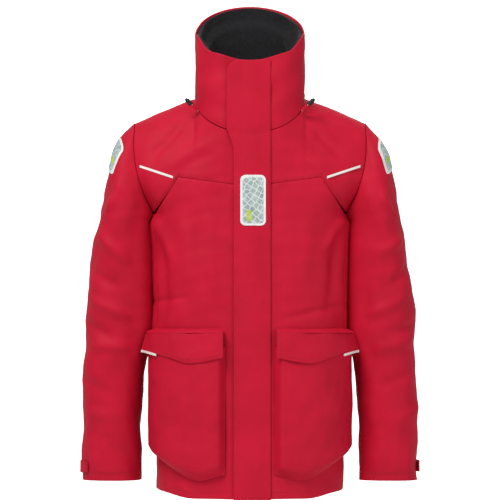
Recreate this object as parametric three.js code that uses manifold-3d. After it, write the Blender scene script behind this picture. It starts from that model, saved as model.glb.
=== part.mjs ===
// A foul weather jacket for sailing, in millimetres, +Z up, its front facing -Y.
// It hangs empty and closed, as on a form. The origin is the top of the hang loop at the nape.
// "left" and "right" are the wearer's: left is +X.

import * as THREE from "three";
import Module from "manifold-3d";
import { mergeVertices } from "three/addons/utils/BufferGeometryUtils.js";

// ---- Driving sizes. Heights are above the hem. ----

const seamGap = 0.5; // between two pieces that are sewn or seated together
const ridgeGap = 0.8; // from each yoke to the shoulder ridge
const neckGap = 1.9; // between the collar and the yokes' rounder neckline
const closeGap = 0.35; // between two flat pieces that lie on each other
const layerGap = 1.1; // between two curved layers, whose facets don't quite follow each other
const shellThickness = 3; // coated cloth with its backing
const liningThickness = 1.2;

const hemHalfWidth = 184;
const hemDip = 2; // the front hem falls this much on its way in to the zip
const waistHalfWidth = 188;
const waistHeight = 330;
const chestHalfWidth = 194;
const underarmHeight = 558;
const frontDepthAtHem = 160;
const frontDepthAtCollar = 80;
const backDepthAtHem = 152;
const backDepthAtChest = 144;
const flatHalfWidth = 46; // the straight band that carries the zip and the storm flap
const frontRoundness = 2.6; // exponent of the front sections: 2 is an ellipse
const backRoundness = 2.4;

const shoulderRun = 35; // how far the shoulder point lies outside the chest
const shoulderPointHeight = 738;
const shoulderRidgeDepth = 15; // the shoulder seam lies behind the side line
const shoulderRoundness = 2.2;
const armholeBulge = 14;

const collarHalfWidth = 109;
const neckSideHeight = 786;
const neckFrontHeight = 716;
const neckBackHeight = 806;
const neckCrownHeight = 858; // where the back of the yoke would close over the neck
const collarFrontHeight = 860;
const collarSideHeight = 915;
const collarBackHeight = 974;
const collarBackDepth = 112;
const collarRoundness = 2.2;
const fleeceThickness = 8;
const hoodThickness = 11;
const hoodHeight = 92;

const chestSeamCentreHeight = 612;
const chestSeamEndHeight = 630;
const chestSeamHalfWidth = 141;
const sideSeamInset = 7;
const sidePanelHalfDepth = 40; // least distance round the surface from the side line to its seams
const backSeamHeight = 600;

const zipChannelHalfWidth = 9;
const zipToothGap = 0.8; // half the slit between the two rows
const zipToothWidth = 1.6;
const zipToothThickness = 2.2;
const zipTapeWidth = 15;
const zipTapeThickness = 0.8;
const sliderLength = 14;
const sliderHalfWidth = 5.2;
const sliderPlate = 1.3;
const pullerLength = 26;
const pullerWidth = 7;
const pullerThickness = 1.4;
const pullerPinRadius = 1.5;
const slideGap = 0.3; // round each small part that slides or turns

const flapSeamX = 41;
const flapFreeX = -32;
const flapCollarFreeX = -46;
const flapThickness = 2.6;
const flapOverhang = 3; // below the hem
const flapCornerRadius = 22;
const fastenerThickness = 1.2;
const fastenerWidth = 16;

const patchWidth = 50;
const patchHeight = 100;
const patchThickness = 1;
const patchCornerRadius = 10;
const patchCentreHeight = 583;

const pocketInnerX = 48;
const pocketOuterX = 183;
const pocketTopHeight = 322; // the underside of the flap's seat
const pocketMouth = 26; // from the bag's upper edge to that seat
const pocketBottomHeight = 34;
const pocketRoom = 17;
const pocketWall = 2.4;
const pocketFlapTopHeight = 332;
const pocketFlapDrop = 60;
const pocketFlapThickness = 2.6;
const pocketFlapFlare = 9; // how far the flap's outer corner stands away
const pipingWidth = 5;
const pipingThickness = 3;

const sleeveThickness = 2.6;
const armholeGap = 2.7;
const sleevePivotOut = 7; // the bend's centre, outside the chest
const sleevePivotDrop = 13; // and below the underarm
const sleeveInnerRadius = 10;
const sleeveHemHeight = 30;
const elbowHeight = 300;
const sleeveHalfDepthAtTop = 80;
const sleeveHalfDepthAtHem = 62;
const sleeveRoundness = 2.2;

const innerCuffThickness = 1.6;
const innerCuffLength = 70;
const innerCuffTaper = 14;
const tabHeight = 24;
const tabCentreHeight = 57;
const tabThickness = 2.4;

const cordRadius = 1.5;
const lockRadius = 4.6;
const lockLength = 13;
const buttonRadius = 3;
const buttonProud = 3.6;
const buttonTravel = 3;
const cordTabWidth = 8;

const hangLoopSpan = 56;
const hangLoopWidth = 8;
const hangLoopThickness = 1.6;
const hangLoopRise = 14;
const hangLoopStandOff = 9;

// ---- Small maths ----

const mix = (a, b, k) => a + (b - a) * k;
const clamp01 = (k) => Math.min(1, Math.max(0, k));
const ease = (k) => clamp01(k) ** 2 * (3 - 2 * clamp01(k));
const radians = THREE.MathUtils.degToRad;
const rounded = (fraction, exponent) => Math.max(0, 1 - Math.abs(fraction) ** exponent) ** (1 / exponent);

// A smooth curve through a few [position, value] points, level outside them.
function profile(points, at) {
  const last = points.length - 1;
  if (at <= points[0][0]) return points[0][1];
  if (at >= points[last][0]) return points[last][1];
  const k = points.findIndex(([position]) => position > at) - 1;
  const slope = (n) => {
    const before = points[Math.max(0, n - 1)];
    const after = points[Math.min(last, n + 1)];
    return (after[1] - before[1]) / (after[0] - before[0]);
  };
  const [x0, y0] = points[k];
  const [x1, y1] = points[k + 1];
  const t = (at - x0) / (x1 - x0);
  const width = x1 - x0;
  const h00 = (1 + 2 * t) * (1 - t) ** 2;
  const h01 = t * t * (3 - 2 * t);
  return h00 * y0 + t * (1 - t) ** 2 * width * slope(k) + h01 * y1 + t * t * (t - 1) * width * slope(k + 1);
}

const steps = (count) => Array.from({ length: count + 1 }, (_, k) => k / count);

// ---- The jacket's surface ----

const frontSlope = (frontDepthAtHem - frontDepthAtCollar) / collarFrontHeight;
const frontDepth = (z) => frontDepthAtHem - frontSlope * z;
const backDepth = (z) => mix(backDepthAtHem, backDepthAtChest, ease(z / underarmHeight));
const shoulderHalfWidth = chestHalfWidth + shoulderRun;
const armholeHeight = shoulderPointHeight - underarmHeight;

// The armhole's edge seen from the front, from the underarm (0) to the shoulder point (1).
const armholeX = (k) => chestHalfWidth + shoulderRun * k + armholeBulge * Math.sin(Math.PI * k);
const armholeXAt = (z) => armholeX(clamp01((z - underarmHeight) / armholeHeight));

function halfWidth(z) {
  const below = [[0, hemHalfWidth], [waistHeight, waistHalfWidth], [underarmHeight, chestHalfWidth]];
  if (z <= underarmHeight) return profile(below, z);
  return armholeXAt(z) + armholeBulge * 2.4 * ease((z - underarmHeight) / (armholeHeight * 0.45));
}

// Height of the shoulder ridge, and of the closed crown it would have over the neck.
function ridgeHeight(x) {
  const out = Math.abs(x);
  if (out < collarHalfWidth) {
    return mix(neckSideHeight, neckCrownHeight, Math.sqrt(1 - (out / collarHalfWidth) ** 2));
  }
  const fall = (neckSideHeight - shoulderPointHeight) / (shoulderHalfWidth - collarHalfWidth);
  return neckSideHeight - fall * (out - collarHalfWidth);
}

// 1 on the body, falling to 0 on the shoulder ridge.
function openness(x, z) {
  if (z <= underarmHeight) return 1;
  const top = ridgeHeight(x);
  return rounded(1 - clamp01((top - z) / (top - underarmHeight)), shoulderRoundness);
}

function frontY(x, z) {
  const out = Math.max(0, Math.abs(x) - flatHalfWidth);
  const flat = -frontDepth(z) * rounded(out / (halfWidth(z) - flatHalfWidth), frontRoundness);
  const closing = ease(out / (collarHalfWidth - flatHalfWidth));
  return mix(flat, mix(shoulderRidgeDepth, flat, openness(x, z)), closing);
}

function backY(x, z) {
  const full = backDepth(z) * rounded(x / halfWidth(z), backRoundness);
  return mix(shoulderRidgeDepth, full, openness(x, z));
}

const onFront = (x, z) => new THREE.Vector3(x, frontY(x, z), z);
const onBack = (x, z) => new THREE.Vector3(x, backY(x, z), z);

// Where a share of the way round the front, from x = 0, falls across the body.
function acrossFront(share, reach) {
  const band = flatHalfWidth / reach;
  if (share <= band) return share * reach;
  return mix(flatHalfWidth, reach, Math.sin(((share - band) / (1 - band)) * (Math.PI / 2)));
}

const neckFrontZ = (x) => mix(neckSideHeight, neckFrontHeight, Math.sqrt(1 - (x / collarHalfWidth) ** 2));
const neckBackZ = (x) => mix(neckSideHeight, neckBackHeight, Math.sqrt(1 - (x / collarHalfWidth) ** 2));
const sideSeamX = (z) => halfWidth(z) - sideSeamInset;

// ---- Solids ----

function solidFrom(positions, triangles) {
  const a = new THREE.Vector3();
  const b = new THREE.Vector3();
  const c = new THREE.Vector3();
  let volume = 0;
  for (let k = 0; k < triangles.length; k += 3) {
    a.fromArray(positions, triangles[k] * 3);
    b.fromArray(positions, triangles[k + 1] * 3);
    c.fromArray(positions, triangles[k + 2] * 3);
    volume += a.dot(b.cross(c));
  }
  const outward = volume > 0 ? triangles : triangles.slice().reverse();
  const geometry = new THREE.BufferGeometry();
  geometry.setAttribute("position", new THREE.Float32BufferAttribute(positions, 3));
  geometry.setIndex(outward);
  geometry.computeVertexNormals();
  return geometry;
}

// The normal of point(u, v), measured inside the given range so that an edge doesn't reach past itself.
function normalOf(point, u, v, [u0, u1], [v0, v1]) {
  const e = 0.002;
  const within = (k, low, high) => Math.min(high, Math.max(low, k));
  const du = point(within(u + e, u0, u1), v).sub(point(within(u - e, u0, u1), v));
  const dv = point(u, within(v + e, v0, v1)).sub(point(u, within(v - e, v0, v1)));
  return du.cross(dv).normalize();
}

// A closed sheet: point(u, v) is its outer face, and the inner face lies a thickness behind it.
// With loop set, u = 0 and u = 1 are the same line. Side is -1 where u x v points inwards.
function sheet(point, us, vs, thickness, { loop = false, side = 1 } = {}) {
  const columns = loop ? us.slice(0, -1) : us;
  const uRange = loop ? [-Infinity, Infinity] : [us[0], us.at(-1)];
  const vRange = [vs[0], vs.at(-1)];
  const outer = [];
  const inner = [];
  for (const v of vs) {
    for (const u of columns) {
      const p = point(u, v);
      const normal = normalOf(point, u, v, uRange, vRange);
      outer.push(p);
      inner.push(p.clone().addScaledVector(normal, -side * thickness));
    }
  }
  const wide = columns.length;
  const tall = vs.length;
  const deep = outer.length;
  const triangles = [];
  const quad = (a, b, c, d) => triangles.push(a, b, c, a, c, d);
  const spans = loop ? wide : wide - 1;
  for (let j = 0; j < tall - 1; j++) {
    for (let i = 0; i < spans; i++) {
      const a = j * wide + i;
      const b = j * wide + ((i + 1) % wide);
      quad(a, b, b + wide, a + wide);
      quad(deep + b, deep + a, deep + a + wide, deep + b + wide);
    }
  }
  for (let i = 0; i < spans; i++) {
    const next = (i + 1) % wide;
    const top = (tall - 1) * wide;
    quad(next, i, deep + i, deep + next);
    quad(top + i, top + next, deep + top + next, deep + top + i);
  }
  if (!loop) {
    for (let j = 0; j < tall - 1; j++) {
      const a = j * wide;
      const b = a + wide - 1;
      quad(a, a + wide, deep + a + wide, deep + a);
      quad(b + wide, b, deep + b, deep + b + wide);
    }
  }
  return solidFrom([...outer, ...inner].flatMap((p) => p.toArray()), triangles);
}

// The same outline at two depths: a flat piece in the x-z plane, its outer face at -Y.
function plate(shape, outerY, thickness, curveSegments = 6) {
  const geometry = new THREE.ExtrudeGeometry(shape, { depth: thickness, bevelEnabled: false, curveSegments });
  geometry.rotateX(Math.PI / 2);
  geometry.translate(0, outerY + thickness, 0);
  return geometry;
}

function rectangle(x0, z0, x1, z1) {
  return new THREE.Shape([[x0, z0], [x1, z0], [x1, z1], [x0, z1]].map(([x, z]) => new THREE.Vector2(x, z)));
}

function box(x0, x1, y0, y1, z0, z1) {
  const geometry = new THREE.BoxGeometry(x1 - x0, y1 - y0, z1 - z0);
  geometry.translate((x0 + x1) / 2, (y0 + y1) / 2, (z0 + z1) / 2);
  return geometry;
}

const wasm = await Module();
wasm.setup();

function toManifold(geometry) {
  const bare = geometry.clone();
  bare.deleteAttribute("normal");
  bare.deleteAttribute("uv");
  const merged = mergeVertices(bare, 1e-4);
  const vertProperties = new Float32Array(merged.attributes.position.array);
  const triVerts = new Uint32Array(merged.index.array);
  return new wasm.Manifold(new wasm.Mesh({ numProp: 3, vertProperties, triVerts }));
}

function fromManifold(solid) {
  const mesh = solid.getMesh();
  return solidFrom(Array.from(mesh.vertProperties), Array.from(mesh.triVerts));
}

const joined = (a, b) => fromManifold(toManifold(a).add(toManifold(b)));

// ---- Materials ----

const cloth = (colour, roughness = 0.75) => new THREE.MeshStandardMaterial({ color: colour, roughness });
const redShell = cloth("#b81c2c");
const blackFleece = cloth("#17161b", 0.95);
const blackCloth = cloth("#1c1b20", 0.85);
const whiteTape = cloth("#e8e6e2", 0.55);
const reflective = cloth("#c9d6d2", 0.35);
const blackPlastic = cloth("#141416", 0.45);
const paleCord = cloth("#e7c9c6", 0.7);

const jacket = new THREE.Group();
const frontPlane = new THREE.Group();
frontPlane.position.set(0, -frontDepthAtHem, 0);
frontPlane.rotation.x = -Math.atan(frontSlope);
jacket.add(frontPlane);

function add(name, geometry, material, parent = jacket) {
  const mesh = new THREE.Mesh(geometry, material);
  mesh.name = name;
  parent.add(mesh);
  return mesh;
}

// Both sides of a point function: side is +1 for the wearer's left and -1 for the right.
const mirrored = (point, side) => (u, v) => {
  const p = point(u, v);
  p.x *= side;
  return p;
};

const sides = [["left", 1], ["right", -1]];

// ---- Body panels ----

// The chest seam runs straight out from the zip, and the V seam from its end down to the underarm.
const chestSeamZ = (x) => {
  const share = (x - zipChannelHalfWidth) / (chestSeamHalfWidth - zipChannelHalfWidth);
  return mix(chestSeamCentreHeight, chestSeamEndHeight, share);
};
const vSeam = (k) => {
  const x = mix(sideSeamX(underarmHeight), chestSeamHalfWidth, k);
  return [x, mix(underarmHeight, chestSeamEndHeight, k)];
};
const sideSeamTop = 0.88; // share of the front panel's rows below the underarm

function frontPanelEdge(v) {
  if (v > sideSeamTop) return vSeam((v - sideSeamTop) / (1 - sideSeamTop));
  const z = (v / sideSeamTop) * underarmHeight;
  return [sideSeamX(z), z];
}

function frontPanelPoint(u, v) {
  const [edgeX, edgeZ] = frontPanelEdge(v);
  const start = zipChannelHalfWidth / edgeX;
  const x = acrossFront(mix(start, 1, u), edgeX);
  const share = (x - zipChannelHalfWidth) / (edgeX - zipChannelHalfWidth);
  const z = mix(v * chestSeamCentreHeight, edgeZ, share);
  const inset = seamGap * u * ease((v - sideSeamTop) * 20);
  const dip = hemDip * Math.max(0, 1 - u * 3) * (1 - v);
  return onFront(x - inset, z - seamGap * v - dip);
}

// The yoke's lower edge: out along the chest seam, then down the V seam to the underarm.
function yokeLowerEdge(u) {
  const turn = 0.5;
  if (u > turn) {
    const [x, z] = vSeam(1 - (u - turn) / (1 - turn));
    const reach = armholeX(0) - sideSeamX(underarmHeight);
    return [x + reach * ((u - turn) / (1 - turn)) ** 3, z];
  }
  const x = mix(zipChannelHalfWidth, chestSeamHalfWidth, u / turn);
  return [x, chestSeamZ(x)];
}

// The yokes' upper edge: round the neck from the centre, then out along the shoulder ridge.
// It gives the edge's x and z, and how far the edge stands off the collar or the other yoke.
function shoulderEdge(u, neckZ) {
  const neckTurn = 0.5;
  if (u <= neckTurn) {
    const angle = (u / neckTurn) * (Math.PI / 2);
    const x = collarHalfWidth * Math.sin(angle);
    const out = neckGap * Math.sin(angle);
    const back = Math.max(ridgeGap, neckGap * Math.cos(angle));
    return { x, z: neckZ(x) - seamGap * Math.cos(angle), out, back, front: Math.min(ridgeGap, out) };
  }
  const along = (u - neckTurn) / (1 - neckTurn);
  const x = mix(collarHalfWidth, shoulderHalfWidth, along);
  return { x, z: ridgeHeight(x), out: neckGap * (1 - along), back: ridgeGap, front: ridgeGap };
}

function frontYokePoint(u, v) {
  const [lowX, lowZ] = yokeLowerEdge(u);
  const edge = shoulderEdge(u, neckFrontZ);
  const bulge = armholeBulge * u ** 4 * Math.sin(Math.PI * v);
  const x = Math.max(zipChannelHalfWidth, mix(lowX, edge.x, v) + bulge);
  const p = onFront(x, mix(lowZ + seamGap, edge.z, v));
  p.x += edge.out * v ** 6;
  p.y -= edge.front * v ** 6;
  return p;
}

function backYokePoint(u, v) {
  const side = Math.sign(u) || 1;
  const across = Math.abs(u);
  const edge = shoulderEdge(across, neckBackZ);
  const seamShare = (backSeamHeight - underarmHeight) / armholeHeight;
  const lowX = across * armholeX(seamShare);
  const armholeAt = mix(seamShare, 1, v);
  const bulge = (armholeX(armholeAt) - mix(armholeX(seamShare), shoulderHalfWidth, v)) * across ** 4;
  const p = onBack(side * (mix(lowX, edge.x, v) + bulge), mix(backSeamHeight + seamGap, edge.z, v));
  p.x += side * edge.out * v ** 6;
  p.y += edge.back * v ** 6;
  return p;
}

function backEdgeX(z) {
  const above = ease((z - underarmHeight + 10) / 12);
  return mix(sideSeamX(z), armholeXAt(z) - seamGap, above);
}

function backPanelPoint(u, v) {
  const z = v * (backSeamHeight - seamGap);
  return onBack(Math.sin((u * Math.PI) / 2) * backEdgeX(z), z);
}

// The side panel runs from the front side seam, round under the arm, to the back side seam.
function sidePanelPoint(u, v) {
  const z = v * (underarmHeight - 2 * seamGap);
  const wide = halfWidth(z);
  const turn = Math.acos(sideSeamX(z) / wide) * (1 - seamGap / sidePanelHalfDepth);
  const angle = mix(-turn, turn, u);
  const x = wide * Math.cos(angle);
  return angle < 0 ? onFront(x, z) : onBack(x, z);
}

function addBody() {
  const panelRows = [0, 0.11, 0.22, 0.33, 0.44, 0.55, 0.66, 0.77, sideSeamTop, 0.94, 1];
  const yokeRows = steps(11).map((k) => 1 - (1 - k) ** 1.6);
  for (const [side, sign] of sides) {
    const flip = { side: sign };
    const front = sheet(mirrored(frontPanelPoint, sign), steps(13), panelRows, shellThickness, flip);
    add(`front_panel_${side}`, front, redShell);
    const yoke = sheet(mirrored(frontYokePoint, sign), steps(18), yokeRows, shellThickness, flip);
    add(`front_yoke_${side}`, yoke, redShell);
    const under = sheet(mirrored(sidePanelPoint, sign), steps(8), steps(7), shellThickness, flip);
    add(`side_panel_${side}`, under, redShell);
  }
  const both = steps(28).map((k) => 2 * k - 1);
  add("back_panel", sheet(backPanelPoint, both, steps(8), shellThickness, { side: -1 }), redShell);
  add("back_yoke", sheet(backYokePoint, both, yokeRows, shellThickness, { side: -1 }), redShell);
}


// ---- Collar ----

// One way round the collar: from the wearer's left of the zip (start), by the nape (1), to its right.
function collarSide(u, startX) {
  const start = Math.asin(startX / collarHalfWidth) / Math.PI;
  const turn = mix(start, 2 - start, u);
  return turn <= 1 ? [turn, 1] : [2 - turn, -1];
}

const collarX = (turn) => collarHalfWidth * Math.sin(Math.PI * turn);

function neckPoint(turn) {
  const x = Math.min(collarX(turn), collarHalfWidth);
  return turn < 0.5 ? onFront(x, neckFrontZ(x)) : onBack(x, neckBackZ(x));
}

const rimFront = [
  [0, 0], [22, 1], [60, 12], [84, 21], [collarHalfWidth, collarSideHeight - collarFrontHeight],
];

function rimPoint(turn) {
  const x = Math.min(collarX(turn), collarHalfWidth);
  if (turn < 0.5) {
    const z = collarFrontHeight + profile(rimFront, x);
    const out = Math.max(0, x - flatHalfWidth) / (collarHalfWidth - flatHalfWidth);
    return new THREE.Vector3(x, -frontDepth(z) * rounded(out, collarRoundness), z);
  }
  const z = mix(collarSideHeight, collarBackHeight, Math.sqrt(1 - (x / collarHalfWidth) ** 2));
  return new THREE.Vector3(x, collarBackDepth * rounded(x / collarHalfWidth, collarRoundness), z);
}

const collarSurface = (startX) => (u, v) => {
  const [turn, side] = collarSide(u, startX);
  const p = neckPoint(turn).lerp(rimPoint(turn), v);
  p.x *= side;
  p.z += layerGap;
  return p;
};

// A point function moved inwards by depth(u, v).
const sunk = (point, depth, side = 1) => (u, v) => {
  const normal = normalOf(point, u, v, [0, 1], [0, 1]);
  return point(u, v).addScaledVector(normal, -side * depth(u, v));
};

const liningReach = 0.97; // share of the collar's height that the fleece covers
const hoodReach = 0.2; // share of the way round that the rolled hood takes, each side of the nape
const hoodRows = [0.06, 0.06 + hoodHeight / (collarBackHeight - neckBackHeight)];

function hoodBulge(u, v) {
  const across = 1 - ease((Math.abs(u - 0.5) - hoodReach - 0.03) / 0.06);
  const up = 1 - ease((v - hoodRows[1] - 0.1) / 0.15);
  return (hoodThickness + layerGap) * across * up;
}

function addCollar() {
  const outer = collarSurface(zipChannelHalfWidth);
  add("collar_outer", sheet(outer, steps(36), steps(5), shellThickness), redShell);
  const inside = collarSurface(zipChannelHalfWidth + zipTapeWidth + 2);
  const liningDepth = (u, v) => shellThickness + layerGap + hoodBulge(u, v);
  const lining = sunk(inside, liningDepth);
  const levels = steps(9).map((k) => k * liningReach);
  add("collar_lining", sheet(lining, steps(40), levels, fleeceThickness), blackFleece);
  const hood = sunk(inside, () => shellThickness + layerGap * 0.9);
  const hoodColumns = steps(14).map((k) => mix(0.5 - hoodReach, 0.5 + hoodReach, k));
  const hoodLevels = steps(4).map((k) => mix(hoodRows[0], hoodRows[1], k));
  add("stowed_hood", sheet(hood, hoodColumns, hoodLevels, hoodThickness), redShell);
}

// ---- Hang loop ----

const liningFaceAtNape = () => {
  const layers = shellThickness + layerGap + hoodBulge(0.5, 0.1) + fleeceThickness;
  const depth = layers + layerGap + hangLoopThickness;
  const foot = neckPoint(1).lerp(rimPoint(1), 0.1);
  return new THREE.Vector3(0, foot.y - depth, foot.z);
};

function addHangLoop() {
  const foot = liningFaceAtNape();
  const half = hangLoopSpan / 2;
  const curve = new THREE.CatmullRomCurve3([
    new THREE.Vector3(-half, 0, 0),
    new THREE.Vector3(-half * 0.8, -hangLoopStandOff * 0.7, hangLoopRise * 0.4),
    new THREE.Vector3(-half * 0.35, -hangLoopStandOff, hangLoopRise * 0.95),
    new THREE.Vector3(0, -hangLoopStandOff, hangLoopRise),
    new THREE.Vector3(half * 0.35, -hangLoopStandOff, hangLoopRise * 0.95),
    new THREE.Vector3(half * 0.8, -hangLoopStandOff * 0.7, hangLoopRise * 0.4),
    new THREE.Vector3(half, 0, 0),
  ].map((p) => p.add(foot)));
  const strap = (u, v) => {
    const p = curve.getPoint(u);
    p.z += mix(-hangLoopWidth / 2, hangLoopWidth / 2, v);
    return p;
  };
  add("hang_loop", sheet(strap, steps(20), steps(1), hangLoopThickness), blackCloth);
  const top = curve.getPoint(0.5);
  top.z += hangLoopWidth / 2;
  return top;
}

// ---- Zip, in the front plane: x across, y inwards from the panels' outer face, z up the slope ----

const slopeLength = (height) => height * Math.hypot(1, frontSlope);
const zipBottom = 24;
const zipTop = slopeLength(collarFrontHeight) - 10;
const tapeY = shellThickness + seamGap;
const toothInnerX = zipToothGap;
const tapeInnerX = zipToothGap + zipToothWidth + slideGap;
const toothY = tapeY + zipTapeThickness / 2 - zipToothThickness / 2;
const sliderTopAtRest = zipTop - 6;
const sliderBottomAtRest = zipBottom + 5;

function addZipSide(side, sign) {
  const along = (x0, x1) => (sign > 0 ? [x0, x1] : [-x1, -x0]);
  const [t0, t1] = along(tapeInnerX, tapeInnerX + zipTapeWidth);
  const tape = box(t0, t1, tapeY, tapeY + zipTapeThickness, zipBottom - 4, zipTop + 4);
  add(`zip_tape_${side}`, tape, blackCloth, frontPlane);
  const [c0, c1] = along(toothInnerX, toothInnerX + zipToothWidth);
  const row = box(c0, c1, toothY, toothY + zipToothThickness, zipBottom + 4.4, zipTop);
  add(`zip_teeth_${side}`, row, blackPlastic, frontPlane);
}

function sliderGeometry(low) {
  const frontInner = toothY - slideGap;
  const backInner = toothY + zipToothThickness + slideGap;
  const high = low + sliderLength;
  const front = box(-sliderHalfWidth, sliderHalfWidth, frontInner - sliderPlate, frontInner, low, high);
  const back = box(-sliderHalfWidth, sliderHalfWidth, backInner, backInner + sliderPlate, low, high);
  const webHalf = zipToothGap - slideGap;
  const web = box(-webHalf, webHalf, frontInner - 0.5, backInner + 0.5, high - 5, high - 1);
  const pinLength = frontInner - sliderPlate + 0.5 - pullerFaceY + pullerThickness + 0.5;
  const pin = new THREE.CylinderGeometry(pullerPinRadius, pullerPinRadius, pinLength, 16);
  pin.translate(0, pullerFaceY - pullerThickness - 0.5 + pinLength / 2, low + 4);
  return joined(joined(joined(front, web), back), pin);
}

const pullerFaceY = -0.4; // the face towards the panels

function pullerGeometry(pinZ) {
  const eye = pullerPinRadius + slideGap;
  const half = pullerWidth / 2;
  const shape = new THREE.Shape();
  shape.absarc(0, pinZ, half, 0, Math.PI, false);
  shape.lineTo(-half, pinZ - pullerLength + half);
  shape.absarc(0, pinZ - pullerLength + half, half, Math.PI, 2 * Math.PI, false);
  shape.lineTo(half, pinZ);
  const hole = new THREE.Path();
  hole.absarc(0, pinZ, eye, 0, 2 * Math.PI, true);
  shape.holes.push(hole);
  return plate(shape, pullerFaceY - pullerThickness, pullerThickness, 10);
}

function addZip() {
  for (const [side, sign] of sides) addZipSide(side, sign);
  const stop = box(-3, 3, tapeY - 1.6, tapeY - 0.4, zipBottom, zipBottom + 4);
  add("zip_bottom_stop", stop, blackPlastic, frontPlane);
  const lowEnds = { top: sliderTopAtRest - sliderLength, bottom: sliderBottomAtRest };
  for (const [end, low] of Object.entries(lowEnds)) {
    add(`zip_slider_${end}`, sliderGeometry(low), blackPlastic, frontPlane);
    add(`zip_puller_${end}`, pullerGeometry(low + 4), blackPlastic, frontPlane);
  }
}

// ---- Storm flaps ----

const stackedFasteners = 2 * fastenerThickness + 3 * closeGap;
const flapLift = 4; // room under the flap for the pullers

// How far the flap's inner face stands off the panels, across its width.
function flapInnerY(x) {
  const overFastener = flapFreeX + fastenerWidth + 3;
  const across = [[overFastener, stackedFasteners], [overFastener + 6, flapLift], [10, flapLift]];
  return -profile([...across, [28, 2.2], [flapSeamX, layerGap]], x);
}

function flapOutlineX(z) {
  const neck = slopeLength(neckFrontHeight);
  return profile([[neck - 30, flapFreeX], [neck + 20, flapCollarFreeX]], z);
}

function flapTopZ(x) {
  const top = slopeLength(collarFrontHeight);
  const inCorner = Math.max(0, flapCornerRadius - (x - flapCollarFreeX));
  return top - flapCornerRadius + Math.sqrt(Math.max(0, flapCornerRadius ** 2 - inCorner ** 2));
}

function stormFlapPoint(u, v) {
  const guess = mix(-flapOverhang, slopeLength(collarFrontHeight), v);
  const x = mix(flapOutlineX(guess), flapSeamX, u);
  const z = mix(-flapOverhang, flapTopZ(x), v);
  return new THREE.Vector3(x, flapInnerY(x) - flapThickness, z);
}

// A sheet with four round corners lying on the storm flap's outer face.
function onFlap(centreX, centreZ, width, height, radius) {
  return (u, v) => {
    const x = centreX + (u - 0.5) * width;
    const edge = Math.max(0, radius - Math.min(u, 1 - u) * width);
    const half = height / 2 - radius + Math.sqrt(Math.max(0, radius ** 2 - edge ** 2));
    const y = flapInnerY(x) - flapThickness - closeGap - patchThickness;
    return new THREE.Vector3(x, y, centreZ + (2 * v - 1) * half);
  };
}

const patchCentreX = 6;
const stripBottom = 20;

function addStormFlap() {
  const across = [0, 0.12, 0.25, 0.33, 0.45, 0.6, 0.75, 0.88, 1];
  const up = [...steps(8).map((k) => k * 0.8), 0.84, 0.88, 0.92, 0.96, 1];
  add("storm_flap", sheet(stormFlapPoint, across, up, flapThickness), redShell, frontPlane);
  const inner = flapFreeX + 1;
  const stripTop = slopeLength(neckFrontHeight) - 30;
  const loopY = -closeGap - fastenerThickness;
  const loop = box(inner, inner + fastenerWidth, loopY, -closeGap, stripBottom, stripTop);
  add("storm_flap_loop_strip", loop, blackCloth, frontPlane);
  const hookY = loopY - closeGap;
  const hookFaceY = hookY - fastenerThickness;
  const hook = box(inner, inner + fastenerWidth, hookFaceY, hookY, stripBottom, stripTop);
  add("storm_flap_hook_strip", hook, blackCloth, frontPlane);
  const patchZ = slopeLength(patchCentreHeight);
  const patch = onFlap(patchCentreX, patchZ, patchWidth, patchHeight, patchCornerRadius);
  const corners = [0, 0.03, 0.08, 0.2, 0.4, 0.6, 0.8, 0.92, 0.97, 1];
  add("reflective_patch", sheet(patch, corners, steps(4), patchThickness), reflective, frontPlane);
}

const innerFlapThickness = 1.6;

function innerFlapPoint(u, v) {
  const backOfSlider = toothY + zipToothThickness + slideGap + sliderPlate;
  const seat = tapeY + zipTapeThickness + closeGap;
  const x = mix(-22, tapeInnerX + zipTapeWidth, u);
  const y = profile([[7, backOfSlider + 0.8], [11, seat], [12, seat]], x);
  return new THREE.Vector3(x, y, mix(zipBottom, zipTop + 2, v));
}

function addInnerFlap() {
  const across = [0, 0.3, 0.55, 0.7, 0.76, 0.8, 0.84, 1];
  add("inner_storm_flap", sheet(innerFlapPoint, across, steps(1), innerFlapThickness), redShell, frontPlane);
}

// ---- Pockets ----

function offFront(x, z, distance) {
  const e = 0.2;
  const across = onFront(x + e, z).sub(onFront(x - e, z));
  const up = onFront(x, z + e).sub(onFront(x, z - e));
  return onFront(x, z).addScaledVector(across.cross(up).normalize(), distance);
}

const pocketX = (u) => mix(pocketInnerX, pocketOuterX, Math.sin(clamp01(u) * (Math.PI / 2)));

function pocketBottomZ(x) {
  const lowest = pocketInnerX + 50;
  const inner = [[pocketInnerX, 12], [pocketInnerX + 18, 8], [lowest, 0]];
  const outer = [[lowest + 31, 8], [pocketOuterX - 8, 34], [pocketOuterX, 48]];
  return pocketBottomHeight + profile([...inner, ...outer], x);
}

const pocketEdge = 0.07; // share of the pocket's width and height taken by its gusset

function pocketBagPoint(u, v) {
  const x = pocketX(u);
  const room = ease(u / pocketEdge) * ease((1 - u) / pocketEdge) * ease(v / pocketEdge);
  const z = mix(pocketBottomZ(x), pocketTopHeight - pocketMouth, v);
  return offFront(x, z, layerGap + pocketWall + pocketRoom * room);
}

const flapFace = layerGap + pocketWall + pocketRoom + seamGap + pocketFlapThickness;
const flapStart = 0.02;

function pocketFlapBaseOuter(u, v) {
  const x = pocketX(mix(flapStart, 1, u));
  const z = mix(pocketTopHeight + seamGap, pocketFlapTopHeight, v);
  return offFront(x, z, mix(flapFace, pocketFlapThickness + layerGap, v ** 2));
}

function pocketFlapBottomZ(x) {
  const drop = [[pocketInnerX, 0.8], [pocketInnerX + 64, 1], [pocketInnerX + 95, 0.82], [pocketOuterX, 0.55]];
  return pocketTopHeight - pocketFlapDrop * profile(drop, x);
}

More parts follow.
